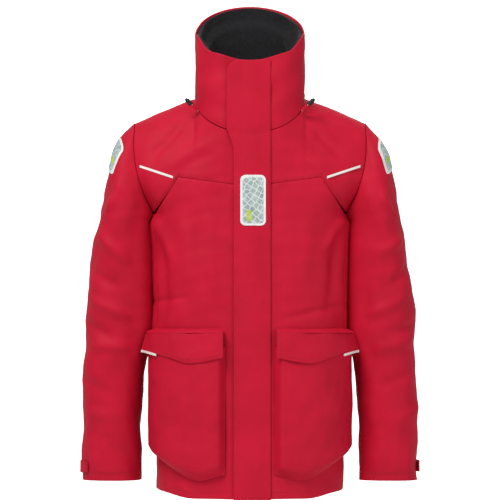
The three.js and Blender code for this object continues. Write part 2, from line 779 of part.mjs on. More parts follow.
function pocketFlapPoint(u, v) {
  const x = pocketX(mix(flapStart, 1, u));
  const flare = pocketFlapFlare * u ** 4 * (1 - v);
  return offFront(x, mix(pocketFlapBottomZ(x), pocketTopHeight, v), flapFace + flare);
}

function pocketPipingPoint(u, v) {
  const along = mix(0.66, 1, u);
  const x = pocketX(mix(flapStart, 1, along));
  const bottom = pocketFlapBottomZ(x) - seamGap;
  const standOff = flapFace + closeGap + pocketFlapFlare * along ** 4;
  return offFront(x, mix(bottom - pipingWidth, bottom, v), standOff);
}

function addPockets() {
  const columns = [0, 0.03, pocketEdge, 0.2, 0.35, 0.5, 0.65, 0.8, 1 - pocketEdge, 0.965, 1];
  const rows = [0, 0.03, pocketEdge, 0.25, 0.45, 0.65, 0.85, 1];
  for (const [side, sign] of sides) {
    const flip = { side: sign };
    const solid = (point, us, vs, thickness) => sheet(mirrored(point, sign), us, vs, thickness, flip);
    add(`pocket_bag_${side}`, solid(pocketBagPoint, columns, rows, pocketWall), redShell);
    const base = solid(pocketFlapBaseOuter, steps(12), steps(4), pocketFlapThickness);
    add(`pocket_flap_seat_${side}`, base, redShell);
    add(`pocket_flap_${side}`, solid(pocketFlapPoint, steps(12), steps(3), pocketFlapThickness), redShell);
    add(`pocket_piping_${side}`, solid(pocketPipingPoint, steps(5), steps(1), pipingThickness), whiteTape);
  }
}

function chestPipingPoint(u, v) {
  const x = mix(chestSeamHalfWidth + 10, armholeX(0.5) - 9, u);
  const z = mix(chestSeamEndHeight - 4, chestSeamEndHeight + 18, u) + pipingWidth * v;
  return offFront(x, z, seamGap + pipingThickness * 0.7);
}

function addChestPiping() {
  for (const [side, sign] of sides) {
    const thickness = pipingThickness * 0.7;
    const strip = sheet(mirrored(chestPipingPoint, sign), steps(6), steps(1), thickness, { side: sign });
    add(`chest_piping_${side}`, strip, whiteTape);
  }
}

// ---- Sleeves ----

const bendX = chestHalfWidth + sleevePivotOut;
const bendZ = underarmHeight - sleevePivotDrop;
const bendStart = 79; // degrees above level, along the armhole's own slope
const bendReach = [[0, 100], [24, 101], [51, 130], [64, 157], [77, 186], [80, 190]];
const sleeveOuterX = [
  [sleeveHemHeight, 133], [100, 132], [186, 130], [266, 128],
  [346, 126], [426, 120], [506, 108], [bendZ, 100],
];
const sleeveInnerX = [
  [sleeveHemHeight, 15], [106, 15], [220, 10],
  [elbowHeight, 3], [500, 7], [bendZ, sleeveInnerRadius],
];
const bendShare = 0.4; // share of the sleeve's rows in the bend

function armholePoint(angle) {
  const k = (1 + Math.cos(angle)) / 2;
  const z = mix(underarmHeight, shoulderPointHeight, k);
  const x = armholeX(k);
  const p = Math.sin(angle) >= 0 ? onFront(x, z) : onBack(x, z);
  p.x += armholeGap;
  return p;
}

function sleeveRing(angle, v) {
  const across = Math.sign(Math.cos(angle)) * Math.abs(Math.cos(angle)) ** (2 / sleeveRoundness);
  const deep = Math.sign(Math.sin(angle)) * Math.abs(Math.sin(angle)) ** (2 / sleeveRoundness);
  if (v < bendShare) {
    const tilt = mix(bendStart, 0, v / bendShare);
    const reach = profile(bendReach, tilt);
    const half = (reach - sleeveInnerRadius) / 2;
    const from = sleeveInnerRadius + half * (1 + across);
    const x = bendX + from * Math.cos(radians(tilt));
    return new THREE.Vector3(x, -sleeveHalfDepthAtTop * deep, bendZ + from * Math.sin(radians(tilt)));
  }
  const down = (v - bendShare) / (1 - bendShare);
  const z = mix(bendZ, sleeveHemHeight, down);
  const outer = bendX + profile(sleeveOuterX, z);
  const inner = bendX + profile(sleeveInnerX, z);
  const depth = mix(sleeveHalfDepthAtTop, sleeveHalfDepthAtHem, down);
  return new THREE.Vector3(mix(inner, outer, (1 + across) / 2), -depth * deep, z);
}

function sleevePoint(u, v) {
  const angle = 2 * Math.PI * u;
  const start = armholePoint(angle);
  return start.lerp(sleeveRing(angle, v), ease(v / (bendShare * 0.55)));
}

const onSleeve = (distance) => (u, v) => {
  const normal = normalOf(sleevePoint, u, v, [-Infinity, Infinity], [0, 1]);
  return sleevePoint(u, v).addScaledVector(normal, distance);
};

const sleeveRowAt = (z) => bendShare + (1 - bendShare) * ((bendZ - z) / (bendZ - sleeveHemHeight));

function shoulderPatchPoint(u, v) {
  return onSleeve(layerGap + patchThickness)(mix(-0.13, 0.13, u), mix(0.102, 0.172, v));
}

const tabReach = { left: [-0.3, 0.03], right: [-0.3, 0.12] };

function cuffTabPoint([back, front]) {
  const low = sleeveRowAt(tabCentreHeight - tabHeight / 2);
  const high = sleeveRowAt(tabCentreHeight + tabHeight / 2);
  return (u, v) => onSleeve(layerGap + tabThickness)(mix(back, front, u), mix(high, low, v));
}

function innerCuffPoint(u, v) {
  const z = sleeveHemHeight + 8 + innerCuffLength * (1 - v);
  const base = sleevePoint(u, sleeveRowAt(z));
  const middle = sleevePoint(0, sleeveRowAt(z)).lerp(sleevePoint(0.5, sleeveRowAt(z)), 0.5);
  const radius = base.distanceTo(middle);
  const inset = sleeveThickness + seamGap + innerCuffTaper * v;
  return base.lerp(middle, inset / radius);
}

function addSleeves() {
  const upper = steps(11).map((k) => k * bendShare);
  const rows = [...upper, ...steps(8).slice(1).map((k) => mix(bendShare, 1, k))];
  for (const [side, sign] of sides) {
    const flip = { loop: true, side: sign };
    const solid = (point, us, vs, thickness, how) => sheet(mirrored(point, sign), us, vs, thickness, how);
    add(`sleeve_${side}`, solid(sleevePoint, steps(28), rows, sleeveThickness, flip), redShell);
    const patch = solid(shoulderPatchPoint, steps(10), steps(4), patchThickness, { side: sign });
    add(`shoulder_patch_${side}`, patch, reflective);
    const cuff = solid(innerCuffPoint, steps(28), steps(3), innerCuffThickness, flip);
    add(`inner_cuff_${side}`, cuff, blackCloth);
    const tab = solid(cuffTabPoint(tabReach[side]), steps(10), steps(1), tabThickness, { side: sign });
    add(`cuff_tab_${side}`, tab, redShell);
  }
}

// ---- Lining and hem ----

function bodyLoopPoint(startX) {
  return (u, z) => {
    const side = u < 0.5 ? 1 : -1;
    const turn = 2 * (u < 0.5 ? u : 1 - u);
    if (turn < 0.5) {
      const wide = halfWidth(z);
      const x = acrossFront(mix(startX / wide, 1, turn * 2), wide);
      const p = onFront(x, z);
      p.x *= side;
      return p;
    }
    const x = halfWidth(z) * Math.sin(Math.PI * (1 - turn));
    const p = onBack(x, z);
    p.x *= side;
    return p;
  };
}

function addLining() {
  const startX = zipChannelHalfWidth + zipTapeWidth + 2;
  const loop = bodyLoopPoint(startX);
  const band = (low, high) => (u, v) => loop(u, mix(low, high, v));
  const depth = () => shellThickness + layerGap + 0.2;
  const lining = sunk(band(42, underarmHeight - 12), depth);
  add("body_lining", sheet(lining, steps(40), steps(4), liningThickness), blackCloth);
  const facing = sunk(band(1, 40), depth);
  add("hem_facing", sheet(facing, steps(40), steps(1), liningThickness), redShell);
}

// ---- Collar cord locks ----

function turned(points, segments) {
  return new THREE.LatheGeometry([...points, points[0]].map(([r, y]) => new THREE.Vector2(r, y)), segments);
}

// The cord comes out of the neck seam and runs up and outwards to its lock.
function cordFrame(sign) {
  const x = collarHalfWidth - 8;
  const seat = onFront(x, neckFrontZ(x));
  const from = new THREE.Vector3(seat.x + 1.5, seat.y - 3.1, seat.z + 1);
  const along = new THREE.Vector3(20, -5, 19).normalize();
  const frame = new THREE.Group();
  frame.position.set(sign * from.x, from.y, from.z);
  along.x *= sign;
  frame.quaternion.setFromUnitVectors(new THREE.Vector3(0, 1, 0), along);
  return frame;
}

function addCordLock(side, sign) {
  const frame = cordFrame(sign);
  jacket.add(frame);
  const tabLength = 16;
  const lockStart = tabLength + 2;
  const bore = cordRadius + closeGap;
  const cupRadius = buttonRadius + slideGap;
  const cupFloor = lockStart + 6;
  const lockEnd = lockStart + lockLength;
  const outside = [[bore, lockStart], [lockRadius, lockStart], [lockRadius, lockEnd]];
  const inside = [[cupRadius, lockEnd], [cupRadius, cupFloor], [bore, cupFloor]];
  const barrel = turned([...outside, ...inside].reverse(), 20);
  add(`cord_lock_${side}`, solidFrom(...unindexed(barrel)), blackPlastic, frame);
  const buttonStart = cupFloor + buttonTravel + 0.2;
  const buttonEnd = lockEnd + buttonProud;
  const button = new THREE.CylinderGeometry(buttonRadius, buttonRadius, buttonEnd - buttonStart, 20);
  button.translate(0, (buttonStart + buttonEnd) / 2, 0);
  add(`cord_lock_button_${side}`, button, blackPlastic, frame);
  const cordEnd = cupFloor - 0.5;
  const cord = new THREE.CylinderGeometry(cordRadius, cordRadius, cordEnd, 12);
  cord.translate(0, cordEnd / 2, 0);
  add(`drawcord_${side}`, cord, paleCord, frame);
  const tab = box(-cordTabWidth / 2, cordTabWidth / 2, 1, tabLength, bore, cordRadius + 2);
  add(`cord_tab_${side}`, tab, redShell, frame);
}

// A lathe's closed profile as positions and triangles with shared corners.
function unindexed(geometry) {
  geometry.deleteAttribute("normal");
  geometry.deleteAttribute("uv");
  const merged = mergeVertices(geometry, 1e-3);
  return [Array.from(merged.attributes.position.array), Array.from(merged.index.array)];
}

function addCords() {
  for (const [side, sign] of sides) addCordLock(side, sign);
}

addBody();
addCollar();
const hangPoint = addHangLoop();
addZip();
addStormFlap();
addInnerFlap();
addPockets();
addChestPiping();
addSleeves();
addLining();
addCords();

// The hang loop's top is the origin.
const model = new THREE.Group();
jacket.position.copy(hangPoint).negate();
model.add(jacket);

export default model;
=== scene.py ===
import math

import bpy
import numpy as np
from bpy.props import FloatProperty, FloatVectorProperty, PointerProperty
from bpy.types import Operator, Panel, PropertyGroup
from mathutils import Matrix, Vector


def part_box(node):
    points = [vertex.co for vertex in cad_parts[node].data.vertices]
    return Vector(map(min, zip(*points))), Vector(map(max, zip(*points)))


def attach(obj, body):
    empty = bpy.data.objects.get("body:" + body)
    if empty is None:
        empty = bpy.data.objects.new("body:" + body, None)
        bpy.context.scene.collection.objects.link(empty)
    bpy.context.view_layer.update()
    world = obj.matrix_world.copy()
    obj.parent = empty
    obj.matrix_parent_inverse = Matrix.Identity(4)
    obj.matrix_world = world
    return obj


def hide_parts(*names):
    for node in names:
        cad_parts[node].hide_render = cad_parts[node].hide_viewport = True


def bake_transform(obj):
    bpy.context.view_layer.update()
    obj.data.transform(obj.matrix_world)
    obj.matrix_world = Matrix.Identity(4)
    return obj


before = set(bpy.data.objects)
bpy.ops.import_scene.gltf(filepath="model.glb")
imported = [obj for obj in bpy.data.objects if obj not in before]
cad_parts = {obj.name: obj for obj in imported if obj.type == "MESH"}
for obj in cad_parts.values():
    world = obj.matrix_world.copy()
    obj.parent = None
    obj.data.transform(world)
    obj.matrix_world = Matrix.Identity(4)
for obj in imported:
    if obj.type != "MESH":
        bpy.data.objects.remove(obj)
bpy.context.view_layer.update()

bl_info = {
    "name": "Foul weather jacket",
    "version": (1, 0, 0),
    "blender": (4, 5, 0),
    "location": "View3D > Sidebar > Jacket",
    "description": "Builds a sailing jacket of coated cloth around its packed model",
    "category": "Object",
}

# Garment sizes in millimetres. Heights are above the hem, +X is the wearer's left, the front faces -Y.
HANG_POINT = np.array([0.0, 60.104, 840.8])  # top of the hang loop, which is the model's origin
SEAM_GAP, RIDGE_GAP, NECK_GAP = 0.1, 0.1, 0.3
LAYER_GAP, SHELL, LINING = 1.1, 3.0, 1.2
HEM_HALF, WAIST_HALF, WAIST_Z, CHEST_HALF, UNDERARM_Z = 184, 188, 330, 194, 558
HEM_DIP, HEM_RISE, SIDE_SWELL = 2, 13, 6.0
FRONT_AT_HEM, FRONT_AT_COLLAR, BACK_AT_HEM, BACK_AT_CHEST = 160, 80, 152, 144
FLAT_HALF, FRONT_ROUND, BACK_ROUND = 46, 2.6, 2.4
SHOULDER_RUN, SHOULDER_Z, RIDGE_DEPTH, SHOULDER_ROUND, ARMHOLE_BULGE = 35, 738, 15, 2.2, 14
COLLAR_HALF, NECK_SIDE_Z, NECK_FRONT_Z, NECK_BACK_Z, NECK_CROWN_Z = 109, 786, 716, 806, 858
RIM_FRONT_Z, RIM_SIDE_Z, RIM_BACK_Z, RIM_BACK_DEPTH, COLLAR_ROUND = 860, 915, 974, 112, 2.2
FLEECE, HOOD, HOOD_HEIGHT = 8, 11, 92
CHEST_SEAM_Z, CHEST_SEAM_END_Z, CHEST_SEAM_HALF = 612, 630, 141
SIDE_SEAM_INSET, BACK_SEAM_Z, ZIP_CHANNEL_HALF = 7, 600, 9
FLAP_SEAM_X, FLAP_FREE_X, FLAP_COLLAR_FREE_X, FLAP_THICK = 41, -32, -46, 2.6
FLAP_OVERHANG, FLAP_CORNER, FLAP_LIFT = 3, 22, 4
POCKET_IN, POCKET_OUT, POCKET_TOP_Z, POCKET_MOUTH, POCKET_BOTTOM_Z = 48, 183, 322, 26, 34
POCKET_ROOM, POCKET_WALL, POCKET_FLAP_TOP_Z, POCKET_FLAP_DROP = 17, 2.4, 332, 60
SLEEVE, SLEEVE_HEM_Z, ARMHOLE_GAP, BEND_RADIUS = 2.6, 30, 0.3, 10
BEND_X, BEND_Z, BEND_START, BEND_SHARE = CHEST_HALF + 7, UNDERARM_Z - 13, 79, 0.4
SLEEVE_DEEP_TOP, SLEEVE_DEEP_HEM, SLEEVE_ROUND = 80, 62, 2.2
TAPE_Y, TAPE_IN, TAPE_WIDE, TAPE_THICK = 3.5, 2.7, 15, 0.8
SIDES = (("left", 1), ("right", -1))


# ---- Small maths ----

def mix(a, b, k):
    return a + (b - a) * k


def ease(k):
    k = np.clip(k, 0, 1)
    return k * k * (3 - 2 * k)


def rounded(fraction, exponent):
    """A quarter of a superellipse: 1 at the middle, 0 at the end."""
    return np.maximum(0, 1 - np.abs(fraction) ** exponent) ** (1 / exponent)


def profile(points, at):
    """A smooth cubic curve through a few (position, value) points, level outside them."""
    xs, ys = (np.array(k, float) for k in zip(*points))
    slopes = np.empty_like(xs)
    slopes[1:-1] = (ys[2:] - ys[:-2]) / (xs[2:] - xs[:-2])
    slopes[0], slopes[-1] = (ys[1] - ys[0]) / (xs[1] - xs[0]), (ys[-1] - ys[-2]) / (xs[-1] - xs[-2])
    at = np.clip(at, xs[0], xs[-1])
    k = np.clip(np.searchsorted(xs, at, side="right") - 1, 0, len(xs) - 2)
    wide = xs[k + 1] - xs[k]
    t = (at - xs[k]) / wide
    return ((1 + 2 * t) * (1 - t) ** 2 * ys[k] + t * (1 - t) ** 2 * wide * slopes[k]
            + t * t * (3 - 2 * t) * ys[k + 1] + t * t * (t - 1) * wide * slopes[k + 1])


def stack(x, y, z):
    return np.stack(np.broadcast_arrays(x, y, z), axis=-1).astype(float)


def unit(n):
    return n / np.maximum(np.linalg.norm(n, axis=-1, keepdims=True), 1e-12)


def wander(p, size, seed):
    """Smooth unevenness from -1 to 1: the mean of six sine waves of about size mm, in set directions."""
    rng = np.random.default_rng(seed)
    total = 0
    for _ in range(6):
        direction = unit(rng.normal(size=3)) * 2 * np.pi / (size * rng.uniform(0.7, 1.5))
        total = total + np.sin(p @ direction + rng.uniform(0, 2 * np.pi))
    return total / 3


def creases(x, z, folds):
    """Soft ridges and valleys, each (x0, z0, x1, z1, half width, height).
    Each is a bell across its line, eased at its ends."""
    total = np.zeros(np.broadcast(x, z).shape)
    for x0, z0, x1, z1, wide, high in folds:
        run, rise = x1 - x0, z1 - z0
        long = math.hypot(run, rise)
        along = ((x - x0) * run + (z - z0) * rise) / long
        across = ((z - z0) * run - (x - x0) * rise) / long
        ends = ease(along / (0.35 * long)) * ease((long - along) / (0.35 * long))
        total += high * ends * np.exp(-(across / wide) ** 2)
    return total


# ---- The jacket's surface ----

FRONT_SLOPE = (FRONT_AT_HEM - FRONT_AT_COLLAR) / RIM_FRONT_Z
SHOULDER_HALF = CHEST_HALF + SHOULDER_RUN
ARMHOLE_TALL = SHOULDER_Z - UNDERARM_Z


def front_depth(z):
    return FRONT_AT_HEM - FRONT_SLOPE * z


def back_depth(z):
    return mix(BACK_AT_HEM, BACK_AT_CHEST, ease(z / UNDERARM_Z))


def armhole_x(k):
    """The armhole's edge from the underarm, 0, to the shoulder point, 1: a straight line with a shallow bow."""
    return CHEST_HALF + SHOULDER_RUN * k + ARMHOLE_BULGE * np.sin(np.pi * k)


def half_width(z):
    below = profile([(0, HEM_HALF), (WAIST_Z, WAIST_HALF), (UNDERARM_Z, CHEST_HALF)], z)
    k = np.clip((z - UNDERARM_Z) / ARMHOLE_TALL, 0, 1)
    above = armhole_x(k) + ARMHOLE_BULGE * 2.4 * ease((z - UNDERARM_Z) / (ARMHOLE_TALL * 0.45))
    return np.where(z <= UNDERARM_Z, below, above)


def ridge_height(x):
    """Height of the shoulder ridge, and of the closed crown that it would have over the neck."""
    out = np.abs(x)
    crown = mix(NECK_SIDE_Z, NECK_CROWN_Z, np.sqrt(np.maximum(0, 1 - (out / COLLAR_HALF) ** 2)))
    fall = (NECK_SIDE_Z - SHOULDER_Z) / (SHOULDER_HALF - COLLAR_HALF)
    return np.where(out < COLLAR_HALF, crown, NECK_SIDE_Z - fall * (out - COLLAR_HALF))


def openness(x, z):
    """1 on the body, falling to 0 on the shoulder ridge."""
    top = ridge_height(x)
    k = np.clip((top - z) / (top - UNDERARM_Z), 0, 1)
    return np.where(z <= UNDERARM_Z, 1, rounded(1 - k, SHOULDER_ROUND))


def hem_rise(x, z):
    """How far the cloth near the hem is drawn up at the sides: none on the front's middle, all at the side seams."""
    return HEM_RISE * ease((np.abs(x) - 110) / 80) * np.clip(1 - z / 170, 0, 1)


def on_front(x, z):
    out = np.maximum(0, np.abs(x) - FLAT_HALF)
    flat = -front_depth(z) * rounded(np.minimum(1, out / (half_width(z) - FLAT_HALF)), FRONT_ROUND)
    closing = ease(out / (COLLAR_HALF - FLAT_HALF))
    return stack(x, mix(flat, mix(RIDGE_DEPTH, flat, openness(x, z)), closing), z + hem_rise(x, z))


def on_back(x, z):
    full = back_depth(z) * rounded(np.minimum(1, np.abs(x) / half_width(z)), BACK_ROUND)
    return stack(x, mix(RIDGE_DEPTH, full, openness(x, z)), z + hem_rise(x, z))


def across_front(share, reach):
    """Where a share of the way round the front falls: straight over the flat band, then closing up as a sine."""
    band = FLAT_HALF / reach
    turn = np.sin((share - band) / (1 - band) * np.pi / 2)
    return np.where(share <= band, share * reach, mix(FLAT_HALF, reach, turn))


def neck_z(x, middle):
    return mix(NECK_SIDE_Z, middle, np.sqrt(np.maximum(0, 1 - (x / COLLAR_HALF) ** 2)))


def side_seam_x(z):
    return half_width(z) - SIDE_SEAM_INSET


def off_front(x, z, distance):
    """A point at a distance outside the front surface."""
    e = 0.2
    across = on_front(x + e, z) - on_front(x - e, z)
    up = on_front(x, z + e) - on_front(x, z - e)
    return on_front(x, z) + unit(np.cross(across, up)) * np.asarray(distance)[..., None]


# ---- Body panels ----

SIDE_SEAM_TOP = 0.88


def chest_seam_z(x):
    return mix(CHEST_SEAM_Z, CHEST_SEAM_END_Z, (x - ZIP_CHANNEL_HALF) / (CHEST_SEAM_HALF - ZIP_CHANNEL_HALF))


def v_seam(k):
    x = mix(side_seam_x(float(UNDERARM_Z)), CHEST_SEAM_HALF, k)
    return x, mix(UNDERARM_Z, CHEST_SEAM_END_Z, k)


def front_panel_point(u, v):
    """Out from the zip by u and up from the hem by v, to the chest seam and the V seam."""
    seam_x, seam_z = v_seam(np.clip((v - SIDE_SEAM_TOP) / (1 - SIDE_SEAM_TOP), 0, 1))
    low_z = np.minimum(1, v / SIDE_SEAM_TOP) * UNDERARM_Z
    edge_x = np.where(v > SIDE_SEAM_TOP, seam_x, side_seam_x(low_z))
    edge_z = np.where(v > SIDE_SEAM_TOP, seam_z, low_z)
    x = across_front(mix(ZIP_CHANNEL_HALF / edge_x, 1, u), edge_x)
    share = (x - ZIP_CHANNEL_HALF) / (edge_x - ZIP_CHANNEL_HALF)
    z = mix(v * CHEST_SEAM_Z, edge_z, share)
    dip = HEM_DIP * np.maximum(0, 1 - u * 3) * (1 - v)
    return on_front(x - SEAM_GAP * u * ease((v - SIDE_SEAM_TOP) * 20), z - SEAM_GAP * v - dip)


def yoke_lower_edge(u):
    k = np.clip((u - 0.5) / 0.5, 0, 1)
    seam_x, seam_z = v_seam(1 - k)
    reach = armhole_x(0) - side_seam_x(float(UNDERARM_Z))
    x = mix(ZIP_CHANNEL_HALF, CHEST_SEAM_HALF, np.minimum(u / 0.5, 1))
    return np.where(u > 0.5, seam_x + reach * k ** 3, x), np.where(u > 0.5, seam_z, chest_seam_z(x))


def shoulder_edge(u, middle):
    """The yokes' upper edge: round the neck from the centre, then out along the shoulder ridge."""
    angle = np.minimum(u / 0.5, 1) * np.pi / 2
    x = COLLAR_HALF * np.sin(angle)
    along = np.clip((u - 0.5) / 0.5, 0, 1)
    out_x = mix(COLLAR_HALF, SHOULDER_HALF, along)
    on_neck = u <= 0.5
    neck = neck_z(np.minimum(x, COLLAR_HALF), middle) - SEAM_GAP * np.cos(angle)
    z = np.where(on_neck, neck, ridge_height(out_x))
    out = np.where(on_neck, NECK_GAP * np.sin(angle), NECK_GAP * (1 - along))
    back = np.where(on_neck, np.maximum(RIDGE_GAP, NECK_GAP * np.cos(angle)), RIDGE_GAP)
    return np.where(on_neck, x, out_x), z, out, back


def front_yoke_point(u, v):
    low_x, low_z = yoke_lower_edge(u)
    x1, z1, out, _ = shoulder_edge(u, NECK_FRONT_Z)
    bulge = ARMHOLE_BULGE * u ** 4 * np.sin(np.pi * v)
    p = on_front(np.maximum(ZIP_CHANNEL_HALF, mix(low_x, x1, v) + bulge), mix(low_z + SEAM_GAP, z1, v))
    p[..., 0] += out * v ** 6
    p[..., 1] -= np.minimum(RIDGE_GAP, out) * v ** 6
    return p


def back_yoke_point(u, v):
    side, across = np.where(u < 0, -1, 1), np.abs(u)
    x1, z1, out, back = shoulder_edge(across, NECK_BACK_Z)
    share = (BACK_SEAM_Z - UNDERARM_Z) / ARMHOLE_TALL
    low_x = across * armhole_x(share)
    bow = armhole_x(mix(share, 1, v)) - mix(armhole_x(share), SHOULDER_HALF, v)
    p = on_back(side * (mix(low_x, x1, v) + bow * across ** 4), mix(BACK_SEAM_Z + SEAM_GAP, z1, v))
    p[..., 0] += side * out * v ** 6
    p[..., 1] += back * v ** 6
    return p


def back_panel_point(u, v):
    z = v * (BACK_SEAM_Z - SEAM_GAP)
    above = ease((z - UNDERARM_Z + 10) / 12)
    armhole = armhole_x(np.clip((z - UNDERARM_Z) / ARMHOLE_TALL, 0, 1)) - SEAM_GAP
    return on_back(np.sin(u * np.pi / 2) * mix(side_seam_x(z), armhole, above), z)


def side_panel_point(u, v):
    """Round under the arm, from the front side seam to the back side seam."""
    z = v * (UNDERARM_Z - 2 * SEAM_GAP)
    wide = half_width(z)
    turn = np.arccos(side_seam_x(z) / wide) * (1 - SEAM_GAP / 40)
    angle = mix(-turn, turn, u)
    x = wide * np.cos(angle)
    return np.where((angle < 0)[..., None], on_front(x, z), on_back(x, z))


# ---- Collar ----

def neck_point(turn):
    x = np.minimum(COLLAR_HALF * np.sin(np.pi * turn), COLLAR_HALF)
    front = on_front(x, neck_z(x, NECK_FRONT_Z))
    return np.where((turn < 0.5)[..., None], front, on_back(x, neck_z(x, NECK_BACK_Z)))


def rim_point(turn):
    x = np.minimum(COLLAR_HALF * np.sin(np.pi * turn), COLLAR_HALF)
    rise = profile([(0, 0), (22, 1), (60, 12), (84, 21), (COLLAR_HALF, RIM_SIDE_Z - RIM_FRONT_Z)], x)
    out = np.maximum(0, x - FLAT_HALF) / (COLLAR_HALF - FLAT_HALF)
    z = RIM_FRONT_Z + rise
    front = stack(x, -front_depth(z) * rounded(out, COLLAR_ROUND), z)
    back_z = mix(RIM_SIDE_Z, RIM_BACK_Z, np.sqrt(np.maximum(0, 1 - (x / COLLAR_HALF) ** 2)))
    back = stack(x, RIM_BACK_DEPTH * rounded(x / COLLAR_HALF, COLLAR_ROUND), back_z)
    return np.where((turn < 0.5)[..., None], front, back)


def collar_surface(start_x):
    """From the wearer's left of the zip, round by the nape, to its right: straight up from neck seam to rim."""
    def point(u, v):
        start = math.asin(start_x / COLLAR_HALF) / math.pi
        whole = mix(start, 2 - start, u)
        turn = np.where(whole <= 1, whole, 2 - whole)
        p = mix(neck_point(turn), rim_point(turn), v[..., None])
        p[..., 0] *= np.where(whole <= 1, 1, -1)
        p[..., 2] += LAYER_GAP
        return p
    return point


HOOD_REACH = 0.2
HOOD_ROWS = (0.06, 0.06 + HOOD_HEIGHT / (RIM_BACK_Z - NECK_BACK_Z))


def hood_bulge(u, v):
    """How far the rolled hood pushes the fleece inwards at the nape."""
    across = 1 - ease((np.abs(u - 0.5) - HOOD_REACH - 0.03) / 0.06)
    return (HOOD + LAYER_GAP) * across * (1 - ease((v - HOOD_ROWS[1] - 0.1) / 0.15))


# ---- Zip and storm flap, in the front plane: x across, y inwards, z up the slope ----

SLOPE_ANGLE = -math.atan(FRONT_SLOPE)


def on_plane(p):
    """Turns a point of the front plane into the garment's own place."""
    c, s = math.cos(SLOPE_ANGLE), math.sin(SLOPE_ANGLE)
    x, y, z = p[..., 0], p[..., 1], p[..., 2]
    return stack(x, y * c - z * s - FRONT_AT_HEM, y * s + z * c)


def up_slope(height):
    return height * math.hypot(1, FRONT_SLOPE)


def flap_inner_y(x):
    over = FLAP_FREE_X + 19
    stacked = 2 * 1.2 + 3 * 0.35
    points = [(over, stacked), (over + 6, FLAP_LIFT), (10, FLAP_LIFT), (28, 2.2), (FLAP_SEAM_X, LAYER_GAP)]
    return -profile(points, x)


def flap_top_z(x):
    corner = np.maximum(0, FLAP_CORNER - (x - FLAP_COLLAR_FREE_X))
    return up_slope(RIM_FRONT_Z) - FLAP_CORNER + np.sqrt(np.maximum(0, FLAP_CORNER ** 2 - corner ** 2))


def storm_flap_point(u, v):
    neck = up_slope(NECK_FRONT_Z)
    guess = mix(-FLAP_OVERHANG, up_slope(RIM_FRONT_Z), v)
    x = mix(profile([(neck - 30, FLAP_FREE_X), (neck + 20, FLAP_COLLAR_FREE_X)], guess), FLAP_SEAM_X, u)
    return on_plane(stack(x, flap_inner_y(x) - FLAP_THICK, mix(-FLAP_OVERHANG, flap_top_z(x), v)))


def patch_point(wide, tall, radius, lift, centre=(6, 583)):
    """A sheet with four round corners on the storm flap's outer face, lift mm in front of the patch's own."""
    def point(u, v):
        x = centre[0] + (u - 0.5) * wide
        edge = np.maximum(0, radius - np.minimum(u, 1 - u) * wide)
        half = tall / 2 - radius + np.sqrt(np.maximum(0, radius ** 2 - edge ** 2))
        y = flap_inner_y(x) - FLAP_THICK - 1.35 - lift
        return on_plane(stack(x, y, up_slope(centre[1]) + (2 * v - 1) * half))
    return point


def inner_flap_point(u, v):
    x = mix(-22, TAPE_IN + TAPE_WIDE, u)
    z = mix(24, up_slope(RIM_FRONT_Z) - 8, v)
    return on_plane(stack(x, profile([(7, 7.2), (11, 4.65), (12, 4.65)], x), z))


# ---- Pockets ----

def pocket_x(u):
    return mix(POCKET_IN, POCKET_OUT, np.sin(np.clip(u, 0, 1) * np.pi / 2))


def pocket_bag_point(u, v):
    """A pouch with gussets: level with the panel round its edge, and its whole room out over the rest."""
    x = pocket_x(u)
    low = POCKET_IN + 50
    points = [(POCKET_IN, 12), (POCKET_IN + 18, 8), (low, 0), (low + 31, 8), (POCKET_OUT - 8, 34),
              (POCKET_OUT, 48)]
    room = ease(u / 0.07) * ease((1 - u) / 0.07) * ease(v / 0.07)
    z = mix(POCKET_BOTTOM_Z + profile(points, x), POCKET_TOP_Z - POCKET_MOUTH, v)
    return off_front(x, z, LAYER_GAP + POCKET_WALL + POCKET_ROOM * room)


FLAP_FACE = LAYER_GAP + POCKET_WALL + POCKET_ROOM + 0.5 + FLAP_THICK
FLAP_START = 0.02


def pocket_seat_point(u, v):
    x = pocket_x(mix(FLAP_START, 1, u))
    z = mix(POCKET_TOP_Z + SEAM_GAP, POCKET_FLAP_TOP_Z, v)
    return off_front(x, z, mix(FLAP_FACE, FLAP_THICK + LAYER_GAP, v ** 2))


def pocket_flap_bottom(x):
    drop = [(POCKET_IN, 0.8), (POCKET_IN + 64, 1), (POCKET_IN + 95, 0.82), (POCKET_OUT, 0.55)]
    return POCKET_TOP_Z - POCKET_FLAP_DROP * profile(drop, x)


def pocket_flap_point(u, v):
    x = pocket_x(mix(FLAP_START, 1, u))
    return off_front(x, mix(pocket_flap_bottom(x), POCKET_TOP_Z, v), FLAP_FACE + 9 * u ** 4 * (1 - v))


def pocket_piping_point(u, v):
    along = mix(0.66, 1, u)
    x = pocket_x(mix(FLAP_START, 1, along))
    bottom = pocket_flap_bottom(x)
    return off_front(x, mix(bottom - 5, bottom, v), FLAP_FACE + 0.4 + 9 * along ** 4)


def chest_piping_point(u, v):
    x = mix(CHEST_SEAM_HALF + 10, armhole_x(0.5) - 9, u)
    z = mix(CHEST_SEAM_END_Z - 4, CHEST_SEAM_END_Z + 18, u) + 5 * v
    return off_front(x, z, 3.2 + 0 * z)


# ---- Sleeves ----

BEND_REACH = [(0, 100), (24, 101), (51, 130), (64, 157), (77, 186), (80, 190)]
SLEEVE_OUT = [(SLEEVE_HEM_Z, 133), (100, 132), (186, 130), (266, 128), (346, 126), (426, 120), (506, 108),
              (BEND_Z, 100)]
SLEEVE_IN = [(SLEEVE_HEM_Z, 15), (106, 15), (220, 10), (300, 3), (500, 7), (BEND_Z, BEND_RADIUS)]


